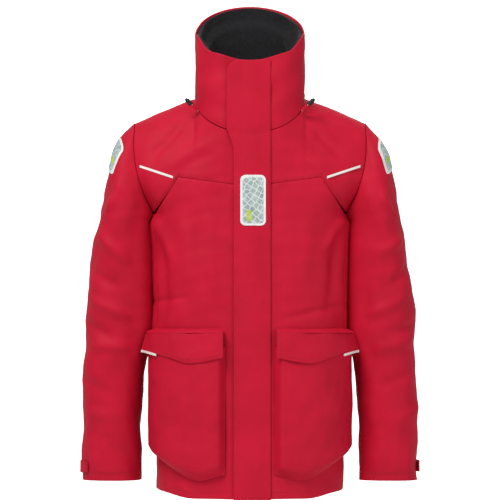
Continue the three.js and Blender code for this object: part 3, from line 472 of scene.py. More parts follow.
def sleeve_ring(angle, v):
    """A superellipse section: fanned round the underarm down to level, then straight down to the cuff."""
    across = np.sign(np.cos(angle)) * np.abs(np.cos(angle)) ** (2 / SLEEVE_ROUND)
    deep = np.sign(np.sin(angle)) * np.abs(np.sin(angle)) ** (2 / SLEEVE_ROUND)
    tilt = mix(BEND_START, 0, np.minimum(v / BEND_SHARE, 1))
    reach = BEND_RADIUS + (profile(BEND_REACH, tilt) - BEND_RADIUS) / 2 * (1 + across)
    fan = stack(BEND_X + reach * np.cos(np.radians(tilt)), -SLEEVE_DEEP_TOP * deep,
                BEND_Z + reach * np.sin(np.radians(tilt)))
    down = np.clip((v - BEND_SHARE) / (1 - BEND_SHARE), 0, 1)
    z = mix(BEND_Z, SLEEVE_HEM_Z, down)
    x = BEND_X + mix(profile(SLEEVE_IN, z), profile(SLEEVE_OUT, z), (1 + across) / 2)
    straight = stack(x, -mix(SLEEVE_DEEP_TOP, SLEEVE_DEEP_HEM, down) * deep, z)
    return np.where((v < BEND_SHARE)[..., None], fan, straight)


def sleeve_point(u, v):
    """From the armhole's own line, easing into the sleeve's rings."""
    angle = 2 * np.pi * u
    k = (1 + np.cos(angle)) / 2
    z = mix(UNDERARM_Z, SHOULDER_Z, k)
    start = np.where((np.sin(angle) >= 0)[..., None], on_front(armhole_x(k), z), on_back(armhole_x(k), z))
    start[..., 0] += ARMHOLE_GAP
    return mix(start, sleeve_ring(angle, v), ease(v / (BEND_SHARE * 0.55))[..., None])


def on_sleeve(u, v, distance):
    e = 1e-3
    du = sleeve_point(u + e, v) - sleeve_point(u - e, v)
    dv = sleeve_point(u, np.minimum(v + e, 1)) - sleeve_point(u, np.maximum(v - e, 0))
    return sleeve_point(u, v) + unit(np.cross(du, dv)) * distance


def sleeve_row(z):
    return BEND_SHARE + (1 - BEND_SHARE) * (BEND_Z - z) / (BEND_Z - SLEEVE_HEM_Z)


def inner_cuff_point(u, v):
    row = sleeve_row(SLEEVE_HEM_Z + 8 + 70 * (1 - v))
    base = sleeve_point(u, row)
    middle = (sleeve_point(0 * u, row) + sleeve_point(0 * u + 0.5, row)) / 2
    inset = SLEEVE + 0.5 + 14 * v
    return mix(base, middle, (inset / np.linalg.norm(base - middle, axis=-1))[..., None])


# ---- Lining ----

def body_band(low, high):
    """Round the inside of the body, from the left of the zip by the back to its right."""
    def point(u, v):
        z = mix(low, high, v)
        side, turn = np.where(u < 0.5, 1, -1), 2 * np.where(u < 0.5, u, 1 - u)
        wide = half_width(z)
        x = across_front(mix((ZIP_CHANNEL_HALF + 17) / wide, 1, np.minimum(turn * 2, 1)), wide)
        back_x = wide * np.sin(np.pi * (1 - turn))
        p = np.where((turn < 0.5)[..., None], on_front(x, z), on_back(back_x, z))
        p[..., 0] *= side
        return p
    return point


# ---- Folds: x and height, mm, on the wearer's left; x is mirrored for the right ----

FRONT_FOLDS = {
    1: [(176, 545, 150, 330, 10, -3.0), (120, 600, 100, 380, 16, 2.0), (75, 560, 88, 345, 13, 1.6),
        (188, 560, 140, 470, 9, 2.4), (60, 330, 52, 20, 9, -1.6), (130, 32, 150, 4, 10, 1.2),
        (60, 700, 165, 640, 12, 1.8), (110, 745, 205, 640, 10, -2.0), (70, 690, 150, 655, 8, -1.2),
        (205, 382, 55, 350, 6, -1.8)],
    -1: [(182, 540, 160, 340, 11, -3.2), (128, 590, 118, 380, 15, 2.2), (82, 590, 70, 360, 12, 1.6),
         (190, 565, 150, 450, 9, 2.2), (62, 330, 56, 20, 9, -1.6), (145, 34, 120, 5, 10, 1.2),
         (70, 705, 170, 645, 12, 2.0), (120, 750, 208, 650, 10, -2.2), (60, 680, 140, 650, 8, -1.0),
         (205, 380, 110, 397, 5, -2.2)],
}
BACK_FOLDS = [(-150, 540, -90, 300, 16, 3.0), (155, 545, 100, 320, 16, 3.0), (-60, 590, -75, 120, 20, 2.5),
              (70, 585, 60, 150, 20, -2.6), (0, 560, 12, 60, 18, 2.0), (-170, 600, -60, 690, 14, 2.4),
              (170, 600, 70, 700, 14, 2.4), (-120, 200, 60, 150, 18, 1.6)]
SLEEVE_FOLDS = {  # distance round from the outer side, positive to the front, and height
    1: [(20, 520, 130, 470, 10, 4.0), (0, 470, 120, 400, 9, -3.2), (40, 400, 150, 352, 9, 3.6),
        (-10, 345, 110, 322, 8, -3.2), (10, 318, 140, 285, 9, 3.4), (30, 250, 130, 215, 8, -2.2),
        (0, 180, 110, 140, 10, 2.2), (60, 560, 95, 640, 12, 3.2), (-140, 500, -30, 430, 12, 3.2),
        (-150, 380, -20, 340, 10, -3.0), (-140, 300, -10, 260, 10, 2.6), (50, 130, 70, 40, 12, 1.8)],
    -1: [(30, 530, 140, 455, 10, 4.0), (10, 455, 130, 405, 9, -3.0), (20, 395, 150, 350, 9, 3.6),
         (0, 350, 120, 310, 8, -3.4), (30, 300, 150, 290, 9, 3.2), (0, 240, 120, 200, 8, -2.2),
         (20, 170, 130, 150, 10, 2.2), (55, 560, 90, 650, 12, 3.4), (-150, 510, -20, 440, 12, 3.2),
         (-140, 370, -20, 350, 10, -3.0), (-150, 290, -20, 270, 10, 2.6), (50, 130, 80, 40, 12, 1.8)],
}


# How far a sleeve's outer side stands out, in mm, by the share of the way down it.
SLEEVE_HEAD = [(0, 0), (0.06, 1), (0.08, 3), (0.1, 6), (0.13, 8.2), (0.16, 3.7), (0.2, -3), (0.25, -2.5),
               (0.35, -1.5), (0.5, -1.4), (0.6, 0)]
SLEEVE_PRESS = 16  # how far its inner side swells towards the body


def body_relief(p, u, v):
    x, z = p[..., 0], p[..., 2]
    front = np.where(x >= 0, creases(np.abs(x), z, FRONT_FOLDS[1]), creases(np.abs(x), z, FRONT_FOLDS[-1]))
    shape = np.where(p[..., 1] < 20, front, creases(x, z, BACK_FOLDS))
    near_flat = ease((np.abs(x) - 36) / 20)
    calm = np.where(p[..., 1] < 20, near_flat, 1)
    side = SIDE_SWELL * ease((np.abs(x) - 165) / 20) * ease((z - 235) / 60) * ease((556 - z) / 20)
    near_armhole = ease((armhole_x(np.clip((z - UNDERARM_Z) / ARMHOLE_TALL, 0, 1)) - np.abs(x)) / 26)
    calm = calm * np.where(z > UNDERARM_Z - 4, near_armhole, 1)
    return side + calm * (2.0 * shape + 2.2 * wander(p, 120, 3) + 0.8 * wander(p, 38, 5))


def sleeve_relief(side):
    def relief(p, u, v):
        around = np.where(u > 0.5, u - 1, u) * 420
        z = np.where(v < BEND_SHARE, BEND_Z + (BEND_SHARE - v) * 420, p[..., 2])
        settle = ease(v / 0.12)
        folds = 2.0 * creases(around, z, SLEEVE_FOLDS[side])
        head = profile(SLEEVE_HEAD, v) * np.exp(-(np.minimum(u, 1 - u) / 0.2) ** 4)
        inner = np.exp(-((u - 0.5) / 0.13) ** 4) * ease((p[..., 2] - 262) / 60) * ease(v / 0.1)
        uneven = folds + 2.2 * wander(p, 90, 11 + side) + 0.9 * wander(p, 30, 13 + side)
        return head + SLEEVE_PRESS * inner + (1 - 0.7 * inner) * settle * uneven
    return relief


def collar_relief(p, u, v):
    return 1.1 * wander(p, 70, 21) + 0.5 * wander(p * [1, 1, 2.2], 40, 23)


def fleece_relief(p, u, v):
    """Bunched fleece: upright rolls of about 26 mm, deeper towards the rim, over a slow swell."""
    rolls = np.sin(u * 46 + 1.3 * np.sin(v * 5)) * 1.6 * ease(np.abs(u - 0.5) * 5)
    return rolls * ease(v * 2) + 1.2 * wander(p, 48, 27) + 0.4 * wander(p, 14, 29)


def flap_relief(p, u, v):
    """The storm flap: small level puckers along its free edge over the chest, and a slow swell."""
    z = p[..., 2]
    pucker = np.exp(-(u * 73 / 9) ** 2) * (0.5 + 0.5 * wander(p, 60, 31))
    rows = np.sin(z / 7.5 + 2 * np.sin(z / 41)) * ease((z - 330) / 80) * ease((720 - z) / 60)
    return 0.9 * pucker * rows + 0.6 * wander(p, 85, 33) - 1.1 * np.exp(-((z - 716) / 3.0) ** 2)


def pocket_relief(seed):
    def relief(p, u, v):
        inside = ease(u / 0.12) * ease((1 - u) / 0.12) * ease(v / 0.12)
        return inside * (1.6 * wander(p, 80, seed) + 0.5 * wander(p, 26, seed + 1))
    return relief


def level(p, u, v):
    return 0.25 * wander(p, 30, 41)


# ---- Surfaces and meshes ----

def skin(point, relief=level, side=1, sign=1, loop=False, seams="", depth=1.3, reach=3.2, sunk=None):
    """The outer face of a piece as a function of u and v, with its outward normal.
    It is the smooth surface, moved out by the relief and in by a bell-shaped dip along each sewn edge named in
    seams (l, r, b or t), with fine puckers that fade away from the edge. sunk moves the whole surface inwards."""
    def raw(u, v):
        p = point(u, v)
        return p * [sign, 1, 1]

    def normal(u, v, of):
        e = 1e-3
        u0, u1 = (u - e, u + e) if loop else (np.maximum(u - e, 0), np.minimum(u + e, 1))
        v0, v1 = np.maximum(v - e, 0), np.minimum(v + e, 1)
        du = (of(u1, v) - of(u0, v)) / (u1 - u0)[..., None]
        dv = (of(u, v1) - of(u, v0)) / (v1 - v0)[..., None]
        return unit(np.cross(du, dv)) * side * sign, np.linalg.norm(du, axis=-1), np.linalg.norm(dv, axis=-1)

    def base(u, v):
        if sunk is None:
            return raw(u, v)
        n, _, _ = normal(u, v, raw)
        return raw(u, v) - n * sunk(u, v)[..., None]

    def at(u, v, lift=0.0):
        u, v = (np.array(k, float) for k in np.broadcast_arrays(u, v))
        p = base(u, v)
        n, wide, tall = normal(u, v, base)
        out = relief(p, u, v)
        for edge, gap in (("l", u * wide), ("r", (1 - u) * wide), ("b", v * tall), ("t", (1 - v) * tall)):
            if edge in seams:
                fine = 0.35 * wander(p, 13, 51) * np.exp(-(gap / 13) ** 2)
                out = out * (1 - 0.75 * np.exp(-(gap / 5) ** 2)) - depth * np.exp(-(gap / reach) ** 2) + fine
        return p + n * (out + lift)[..., None], n
    return at


def cuts(count, edge=0.0, wide=1.0):
    """Even steps from 0 to 1, with a closer pair edge mm from each end of a piece that is wide mm across."""
    even = np.linspace(0, 1, count + 1)
    if edge:
        k = edge / wide
        even = np.concatenate([[0, k], even[1:-1], [1 - k, 1]])
    return np.unique(even)


def rim_quads(a, b):
    """Quads between two rows of vertex numbers."""
    return np.stack([a[:-1], a[1:], b[1:], b[:-1]], axis=1)


def mesh_object(name, points, quads, material, uv=None, smooth=True):
    """Puts whole arrays of points, in garment millimetres, and quads into a mesh, facing outwards."""
    points = (np.asarray(points, float).reshape(-1, 3) - HANG_POINT) * 0.001
    a, b, c, d = (points[quads[:, k]] for k in range(4))
    volume = (np.cross(b - a, c - a) * a).sum() + (np.cross(c - a, d - a) * a).sum()
    if volume < 0:
        quads = quads[:, ::-1]
    mesh = bpy.data.meshes.new(name)
    mesh.vertices.add(len(points))
    mesh.vertices.foreach_set("co", points.ravel())
    mesh.loops.add(quads.size)
    mesh.loops.foreach_set("vertex_index", quads.ravel())
    mesh.polygons.add(len(quads))
    mesh.polygons.foreach_set("loop_start", np.arange(0, quads.size, 4))
    mesh.polygons.foreach_set("loop_total", np.full(len(quads), 4))
    mesh.update(calc_edges=True)
    if uv is not None:
        layer = mesh.uv_layers.new(name="cloth")
        layer.data.foreach_set("uv", uv[quads.ravel()].ravel())
    mesh.polygons.foreach_set("use_smooth", np.full(len(quads), smooth))
    mesh.validate()
    mesh.materials.append(material)
    made = bpy.data.objects.new(name, mesh)
    bpy.context.scene.collection.objects.link(made)
    return made


def sheet_mesh(name, at, us, vs, thickness, material, loop=False, smoothing=1):
    """A closed sheet: the outer face at(u, v), the inner face a thickness behind it, and a rim between.
    Its UV map is the distance run along the cloth each way, in metres."""
    u, v = np.meshgrid(us[:-1] if loop else us, vs)
    outer, n = at(u, v)
    tall, wide = u.shape
    inner = outer - n * thickness
    number = np.arange(tall * wide).reshape(tall, wide)
    if loop:
        number = np.concatenate([number, number[:, :1]], axis=1)
    a, b, c, d = number[:-1, :-1], number[:-1, 1:], number[1:, 1:], number[1:, :-1]
    front = np.stack([k.ravel() for k in (a, b, c, d)], axis=1)
    deep = tall * wide
    rims = [rim_quads(number[0], number[0] + deep)[:, ::-1], rim_quads(number[-1], number[-1] + deep)]
    if not loop:
        rims += [rim_quads(number[:, 0], number[:, 0] + deep),
                 rim_quads(number[:, -1], number[:, -1] + deep)[:, ::-1]]
    quads = np.concatenate([front, front[:, ::-1] + deep, *rims])
    along = np.zeros((tall, wide))
    along[:, 1:] = np.cumsum(np.linalg.norm(np.diff(outer, axis=1), axis=-1), axis=1)
    up = np.zeros((tall, wide))
    up[1:] = np.cumsum(np.linalg.norm(np.diff(outer, axis=0), axis=-1), axis=0)
    uv = np.stack([along.ravel(), up.ravel()], axis=1) * 0.001
    made = mesh_object(name, np.concatenate([outer.reshape(-1, 3), inner.reshape(-1, 3)]), quads, material,
                       np.concatenate([uv, uv]))
    if smoothing:
        soft = made.modifiers.new("smooth", "SUBSURF")
        soft.levels = soft.render_levels = smoothing
    return made


def tube_mesh(name, path, radius, material, sides=12):
    """A round rod along a path of points, closed by a domed point at each end."""
    path = np.asarray(path, float)
    along = unit(np.gradient(path, axis=0))
    across = unit(np.cross(along, [0.31, 0.87, 0.38]))
    up = np.cross(along, across)
    radius = np.broadcast_to(radius, len(path)).astype(float)
    angle = np.linspace(0, 2 * np.pi, sides, endpoint=False)
    ring = across[:, None] * np.cos(angle)[:, None] + up[:, None] * np.sin(angle)[:, None]
    points = path[:, None] + ring * radius[:, None, None]
    caps = [points[:1] * 0.15 + path[:1, None] * 0.85, points[-1:] * 0.15 + path[-1:, None] * 0.85]
    points = np.concatenate([caps[0], points, caps[1]])
    rows = len(points)
    number = np.arange(rows * sides).reshape(rows, sides)
    number = np.concatenate([number, number[:, :1]], axis=1)
    a, b, c, d = number[:-1, :-1], number[:-1, 1:], number[1:, 1:], number[1:, :-1]
    quads = np.stack([k.ravel() for k in (a, b, c, d)], axis=1)
    ends = np.concatenate([cap_quads(number[0, :-1]), cap_quads(number[-1, :-1])[:, ::-1]])
    return mesh_object(name, points.reshape(-1, 3), np.concatenate([quads, ends]), material)


def cap_quads(ring):
    """Closes a ring of an even number of vertices with quads across it."""
    half = len(ring) // 2
    low, high = ring[:half], ring[half:][::-1]
    return np.stack([low[:-1], high[:-1], high[1:], low[1:]], axis=1)


def lathe_mesh(name, origin, axis, outline, material, sides=32):
    """Turns an outline of (radius, distance along the axis) points round the axis; it closes on itself."""
    axis = unit(np.asarray(axis, float))
    across = unit(np.cross(axis, [0, 1, 0]))
    up = np.cross(axis, across)
    radius, along = (np.array(k, float) for k in zip(*outline))
    angle = np.linspace(0, 2 * np.pi, sides, endpoint=False)
    spin = across * np.cos(angle)[:, None] + up * np.sin(angle)[:, None]
    points = np.asarray(origin, float) + along[:, None, None] * axis + radius[:, None, None] * spin[None]
    number = np.arange(len(outline) * sides).reshape(len(outline), sides)
    number = np.concatenate([number, number[:1]], axis=0)
    number = np.concatenate([number, number[:, :1]], axis=1)
    a, b, c, d = number[:-1, :-1], number[:-1, 1:], number[1:, 1:], number[1:, :-1]
    quads = np.stack([k.ravel() for k in (a, b, c, d)], axis=1)
    return mesh_object(name, points.reshape(-1, 3), quads, material)


def blocks_mesh(name, centres, along, normal, size, material, smooth=False):
    """Many small tapered blocks, each at a centre, lying along a direction, with its top towards the normal."""
    along = unit(along - (along * normal).sum(-1, keepdims=True) * normal)
    across = np.cross(normal, along)
    long, wide, high = size
    corners = [(-1, -1, 0, 1), (1, -1, 0, 1), (1, 1, 0, 1), (-1, 1, 0, 1),
               (-1, -1, 1, 0.7), (1, -1, 1, 0.7), (1, 1, 1, 0.7), (-1, 1, 1, 0.7)]
    points = [centres + along * (i * k * long / 2) + across * (j * k * wide / 2) + normal * (h * high)
              for i, j, h, k in corners]
    points = np.stack(points, axis=1).reshape(-1, 3)
    faces = np.array([(0, 3, 2, 1), (4, 5, 6, 7), (0, 1, 5, 4), (1, 2, 6, 5), (2, 3, 7, 6), (3, 0, 4, 7)])
    quads = (faces[None] + 8 * np.arange(len(centres))[:, None, None]).reshape(-1, 4)
    return mesh_object(name, points, quads, material, smooth=smooth)


def stitch_rows(name, rows, material, spacing=3.6, size=(2.5, 0.75, 0.45)):
    """Rows of stitches, each row (at, u, v) a path of u and v on a skin, as one mesh of small blocks."""
    centres, along, normals = [], [], []
    for at, u, v in rows:
        p, n = at(np.asarray(u, float), np.asarray(v, float), -0.12)
        run = np.concatenate([[0], np.cumsum(np.linalg.norm(np.diff(p, axis=0), axis=1))])
        where = np.arange(spacing / 2, run[-1], spacing)
        place = np.stack([np.interp(where, run, p[:, k]) for k in range(3)], axis=1)
        centres.append(place)
        along.append(np.gradient(place, axis=0))
        normals.append(unit(np.stack([np.interp(where, run, n[:, k]) for k in range(3)], axis=1)))
    centres, along, normals = (np.concatenate(k) for k in (centres, along, normals))
    return blocks_mesh(name, centres, along, normals, size, material)


# ---- Materials ----

def linear(hex_colour):
    """An sRGB hex colour as linear red, green, blue and alpha."""
    channels = [int(hex_colour[k:k + 2], 16) / 255 for k in (1, 3, 5)]
    return tuple(c / 12.92 if c <= 0.04045 else ((c + 0.055) / 1.055) ** 2.4 for c in channels) + (1.0,)


def node(tree, kind, settings=None, **inputs):
    """Adds a node with its settings; each input is a value, or a socket that is linked in."""
    made = tree.nodes.new(kind)
    for key, value in (settings or {}).items():
        setattr(made, key, value)
    for key, value in inputs.items():
        numbered = key[0] == "_" and key[1:].isdigit()
        socket = made.inputs[int(key[1:]) if numbered else key.replace("_", " ")]
        if isinstance(value, bpy.types.NodeSocket):
            tree.links.new(value, socket)
        else:
            socket.default_value = value
    return made


def new_material(name):
    made = bpy.data.materials.new(name)
    made.use_nodes = True
    tree = made.node_tree
    shader = tree.nodes["Principled BSDF"]
    return made, tree, shader


def set_shader(tree, shader, **values):
    for key, value in values.items():
        socket = shader.inputs[key.replace("_", " ")]
        if isinstance(value, bpy.types.NodeSocket):
            tree.links.new(value, socket)
        else:
            socket.default_value = value


def woven(name, dark, light, thread_mm, roughness, bump=0.25, sheen=0.0, sheen_tint="#ffffff", blotch_mm=60,
          gloss=0.16):
    """A woven cloth: two crossed wave patterns for the threads, slow blotches of colour, and a fine grain."""
    made, tree, shader = new_material(name)
    cloth = node(tree, "ShaderNodeTexCoord").outputs["UV"]
    place = node(tree, "ShaderNodeTexCoord").outputs["Object"]
    # The wave node turns through 20 radians a metre at a scale of 1, and a whole wave spans two threads.
    scale = 1000 * math.pi / (20 * thread_mm)
    warp, weft = (node(tree, "ShaderNodeTexWave", {"bands_direction": k}, Vector=cloth, Scale=scale, Distortion=0.6)
                  for k in "XY")
    weave = node(tree, "ShaderNodeMath", {"operation": "MULTIPLY"}, _0=warp.outputs["Fac"], _1=weft.outputs["Fac"])
    blotch = node(tree, "ShaderNodeTexNoise", None, Vector=place, Scale=1000 / blotch_mm, Detail=4.0, Roughness=0.6)
    grain = node(tree, "ShaderNodeTexNoise", None, Vector=place, Scale=600.0, Detail=2.0)
    shade = node(tree, "ShaderNodeMath", {"operation": "MULTIPLY_ADD"}, _0=weave.outputs[0], _1=0.12,
                 _2=blotch.outputs["Fac"])
    ramp = node(tree, "ShaderNodeValToRGB", None, Fac=shade.outputs[0])
    ramp.color_ramp.elements[0].position, ramp.color_ramp.elements[1].position = 0.3, 0.78
    ramp.color_ramp.elements[0].color, ramp.color_ramp.elements[1].color = linear(dark), linear(light)
    rough = node(tree, "ShaderNodeMapRange", None, Value=blotch.outputs["Fac"], To_Min=roughness - 0.06,
                 To_Max=roughness + 0.06)
    mixed = node(tree, "ShaderNodeMath", {"operation": "MULTIPLY_ADD"}, _0=grain.outputs["Fac"], _1=0.5,
                 _2=weave.outputs[0])
    bumped = node(tree, "ShaderNodeBump", None, Strength=bump, Distance=0.0004, Height=mixed.outputs[0])
    set_shader(tree, shader, Base_Color=ramp.outputs["Color"], Roughness=rough.outputs["Result"],
               Normal=bumped.outputs["Normal"], Sheen_Weight=sheen, Sheen_Roughness=0.5, Sheen_Tint=linear(sheen_tint),
               Specular_IOR_Level=gloss)
    return made


def pile(name, dark, light):
    """Brushed polyester fleece: short fibres as fine noise, and soft clumps of about 6 mm."""
    made, tree, shader = new_material(name)
    place = node(tree, "ShaderNodeTexCoord").outputs["Object"]
    fibres = node(tree, "ShaderNodeTexNoise", None, Vector=place, Scale=900.0, Detail=3.0, Roughness=0.7)
    clumps = node(tree, "ShaderNodeTexNoise", None, Vector=place, Scale=170.0, Detail=3.0)
    ramp = node(tree, "ShaderNodeValToRGB", None, Fac=clumps.outputs["Fac"])
    ramp.color_ramp.elements[0].position, ramp.color_ramp.elements[1].position = 0.35, 0.7
    ramp.color_ramp.elements[0].color, ramp.color_ramp.elements[1].color = linear(dark), linear(light)
    both = node(tree, "ShaderNodeMath", {"operation": "MULTIPLY_ADD"}, _0=clumps.outputs["Fac"], _1=2.0,
                _2=fibres.outputs["Fac"])
    bumped = node(tree, "ShaderNodeBump", None, Strength=0.6, Distance=0.0012, Height=both.outputs[0])
    set_shader(tree, shader, Base_Color=ramp.outputs["Color"], Roughness=0.95, Normal=bumped.outputs["Normal"],
               Sheen_Weight=0.08, Sheen_Roughness=0.45)
    return made


def moulded(name, dark, light, roughness, grain_mm=0.6, bump=0.15):
    """Moulded plastic: an even colour with slight flow marks and a fine spark-eroded grain."""
    made, tree, shader = new_material(name)
    place = node(tree, "ShaderNodeTexCoord").outputs["Object"]
    flow = node(tree, "ShaderNodeTexNoise", None, Vector=place, Scale=120.0, Detail=3.0)
    grain = node(tree, "ShaderNodeTexNoise", None, Vector=place, Scale=1000 / grain_mm, Detail=2.0)
    ramp = node(tree, "ShaderNodeValToRGB", None, Fac=flow.outputs["Fac"])
    ramp.color_ramp.elements[0].position, ramp.color_ramp.elements[1].position = 0.3, 0.75
    ramp.color_ramp.elements[0].color, ramp.color_ramp.elements[1].color = linear(dark), linear(light)
    rough = node(tree, "ShaderNodeMapRange", None, Value=flow.outputs["Fac"], To_Min=roughness - 0.08,
                 To_Max=roughness + 0.08)
    bumped = node(tree, "ShaderNodeBump", None, Strength=bump, Distance=0.0002, Height=grain.outputs["Fac"])
    set_shader(tree, shader, Base_Color=ramp.outputs["Color"], Roughness=rough.outputs["Result"],
               Normal=bumped.outputs["Normal"])
    return made


def prismatic(name):
    """Retroreflective sheeting: pale silvery film over small prism cells, with wider sealed cell lines."""
    made, tree, shader = new_material(name)
    cloth = node(tree, "ShaderNodeTexCoord").outputs["UV"]
    turned = node(tree, "ShaderNodeMapping", None, Vector=cloth)
    turned.inputs["Rotation"].default_value = (0, 0, math.radians(35))
    cells = node(tree, "ShaderNodeTexVoronoi", {"feature": "DISTANCE_TO_EDGE"}, Vector=turned.outputs[0], Scale=95.0,
                 Randomness=0.35)
    line = node(tree, "ShaderNodeMapRange", None, Value=cells.outputs["Distance"], From_Min=0.03, From_Max=0.10)
    tiny = node(tree, "ShaderNodeTexVoronoi", None, Vector=cloth, Scale=900.0)
    cloudy = node(tree, "ShaderNodeTexNoise", None, Vector=cloth, Scale=60.0, Detail=3.0)
    ramp = node(tree, "ShaderNodeValToRGB", None, Fac=cloudy.outputs["Fac"])
    ramp.color_ramp.elements[0].position, ramp.color_ramp.elements[1].position = 0.35, 0.68
    ramp.color_ramp.elements[0].color, ramp.color_ramp.elements[1].color = linear("#93a8a8"), linear("#c6d4d0")
    colour = node(tree, "ShaderNodeMix", {"data_type": "RGBA"})
    tree.links.new(line.outputs["Result"], colour.inputs["Factor"])
    colour.inputs[6].default_value = linear("#eef3f0")
    tree.links.new(ramp.outputs["Color"], colour.inputs[7])
    bumped = node(tree, "ShaderNodeBump", None, Strength=0.3, Distance=0.0004, Height=tiny.outputs["Distance"])
    set_shader(tree, shader, Base_Color=colour.outputs[2], Roughness=0.34, Metallic=0.25,
               Normal=bumped.outputs["Normal"], Coat_Weight=0.5, Coat_Roughness=0.12)
    return made


MATERIALS = {}


def make_materials(look):
    """Each material is named for what the real one is."""
    red, deep = hex_of(look.shell_colour), hex_of(look.shell_shade)
    MATERIALS.update(
        # polyurethane-coated nylon: matt, even, the weave just showing through the coat
        shell=woven("coated_nylon_red", deep, red, look.thread_spacing * 1000, 0.62, 0.22, 0.02, "#ff8c94"),
        # the same thread as the cloth, spun, so a little lighter and rougher
        thread=woven("polyester_thread_red", "#8f1420", "#c4283a", 0.8, 0.6, 0.3, 0.2, "#ffb0b4"),
        # brushed polyester fleece in the collar
        fleece=pile("polyester_fleece_black", "#050507", "#131217"),
        # plain-woven nylon taffeta lining
        lining=woven("nylon_taffeta_black", "#0b0b0e", "#1a1a1f", 1.2, 0.55, 0.2, 0.1),
        # woven tape: webbing, zip tape and the hook and loop strips' backing
        webbing=woven("woven_tape_black", "#0c0c0e", "#212127", 1.6, 0.75, 0.5, 0.15),
        # bristly nylon hooks and loops
        hooks=pile("nylon_hook_and_loop_black", "#070709", "#1b1b1f"),
        # white braid piping with a soft shine
        piping=woven("braided_piping_white", "#d9d7d2", "#f4f2ee", 1.8, 0.5, 0.5, 0.1),
        border=moulded("welded_tape_white", "#dfe3e0", "#f5f7f5", 0.42, 0.8),
        prisms=prismatic("prismatic_reflective_film"),
        lime=moulded("reflective_film_lime", "#a9c23a", "#c8dc4e", 0.38, 0.8),
        plastic=moulded("acetal_black", "#0b0b0d", "#1c1c20", 0.42),
        cord=woven("braided_cord_pale", "#d8b8b4", "#f1dcd8", 1.0, 0.7, 0.5, 0.2),
    )


def hex_of(colour):
    """A colour property, kept as sRGB values, written as hex."""
    return "#" + "".join(f"{round(c * 255):02x}" for c in colour)


def finish_piece(made, body, nodes=(), blend=None):
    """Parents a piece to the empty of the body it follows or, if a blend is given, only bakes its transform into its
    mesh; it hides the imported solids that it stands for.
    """
    if blend:
        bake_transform(made)
    else:
        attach(made, body)
    if nodes:
        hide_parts(*nodes)
    return made


def metres(p):
    return tuple(float(k) for k in (np.asarray(p, float) - HANG_POINT) * 0.001)


def armhole_blend(side, sign):
    """Names the root and sleeve bodies, and a stretch in metres from the armhole seam to 70 mm out along the sleeve;
    finish_piece reads only that it is given, and then bakes the piece's transform without parenting it.
    """
    start = np.array([sign * 212, 10, 650])
    out = np.array([sign * 0.98, 0, -0.19]) * 70
    return "root", f"sleeve_{side}", metres(start), metres(start + out)


# ---- Settings ----

def size_setting(name, about, default, low, high):
    return FloatProperty(name=name, description=about, default=default, min=low, max=high, subtype="DISTANCE",
                         unit="LENGTH", precision=4)


def colour_setting(name, about, default):
    channels = [int(default[k:k + 2], 16) / 255 for k in (1, 3, 5)]
    return FloatVectorProperty(name=name, description=about, default=channels, size=3, min=0, max=1,
                               subtype="COLOR_GAMMA")


class JacketCloth(PropertyGroup):
    fold_share: FloatProperty(name="Folds", description="How deep the folds are, as a share of the usual",
                              default=1.0, min=0, max=2)
    seam_dip: size_setting("Seam dip", "How far the cloth dips at a sewn seam", 0.0009, 0, 0.004)
    grid: size_setting("Grid", "Spacing of the mesh before it is smoothed", 0.0055, 0.003, 0.02)
    thread_spacing: size_setting("Thread spacing", "Spacing of the drawn threads, coarser than the real 0.4 mm",
                                 0.0016, 0.0004, 0.01)
    stitch_spacing: size_setting("Stitch spacing", "From one stitch to the next", 0.0036, 0.002, 0.008)
    tooth_spacing: size_setting("Tooth spacing", "From one zip tooth to the next", 0.0026, 0.002, 0.005)
    shell_colour: colour_setting("Shell", "The coated cloth where it is light", "#c91133")
    shell_shade: colour_setting("Shell, dark", "The coated cloth where it is dark", "#b90d2b")


class JacketStudio(PropertyGroup):
    distance: size_setting("Camera distance", "From the camera to the middle of the jacket", 9.0, 2, 30)
    view_width: size_setting("View width", "Width of what the camera sees at the jacket", 1.0, 0.3, 3)
    key_power: FloatProperty(name="Key light", description="Power of the main soft light", default=150.0,
                             min=0, max=2000, unit="POWER")
    fill_power: FloatProperty(name="Fill light", description="Power of the soft light from the other side",
                              default=26.0, min=0, max=2000, unit="POWER")
    surround: FloatProperty(name="Surround", description="Brightness of the white surround", default=0.42,
                            min=0, max=5)


def cloth_settings():
    return bpy.context.scene.jacket_cloth


def row_counts(at):
    """How many steps a skin needs each way for the chosen grid, and its two widths in mm."""
    k = np.linspace(0, 1, 41)
    middle = np.full_like(k, 0.5)
    across, _ = at(k, middle)
    up, _ = at(middle, k)
    wide = np.linalg.norm(np.diff(across, axis=0), axis=1).sum()
    tall = np.linalg.norm(np.diff(up, axis=0), axis=1).sum()
    grid = cloth_settings().grid * 1000
    return max(2, round(wide / grid)), max(2, round(tall / grid)), wide, tall


def cloth_piece(name, at, thickness, body="root", nodes=(), material="shell", loop=False,
                blend=None, edge=1.6, least=2):
    """A sheet of cloth with its grid chosen from its size, and closer rows at its edges so that they round."""
    wide_n, tall_n, wide, tall = row_counts(at)
    us = np.linspace(0, 1, wide_n + 1) if loop else cuts(max(least, wide_n), edge, wide)
    vs = cuts(max(least, tall_n), edge, tall)
    made = sheet_mesh(name, at, us, vs, thickness, MATERIALS[material], loop)
    return finish_piece(made, body, nodes, blend)


def scaled(relief):
    def deeper(p, u, v):
        return cloth_settings().fold_share * relief(p, u, v)
    return deeper


def flat_area(at):
    """The cloth's own area in square metres, summed over a coarse grid of its face."""
    u, v = np.meshgrid(np.linspace(0, 1, 41), np.linspace(0, 1, 41))
    p, _ = at(u, v)
    a, b, c, d = p[:-1, :-1], p[:-1, 1:], p[1:, 1:], p[1:, :-1]
    cross = np.linalg.norm(np.cross(b - a, c - a), axis=-1) + np.linalg.norm(np.cross(c - a, d - a), axis=-1)
    return float(cross.sum() / 2) * 1e-6


# the smallest part of its rectangle that a cut may be said to fill
LEAST_AREA_SHARE = 0.301  # the smallest share of its rectangle that a piece's worked-out area is raised to
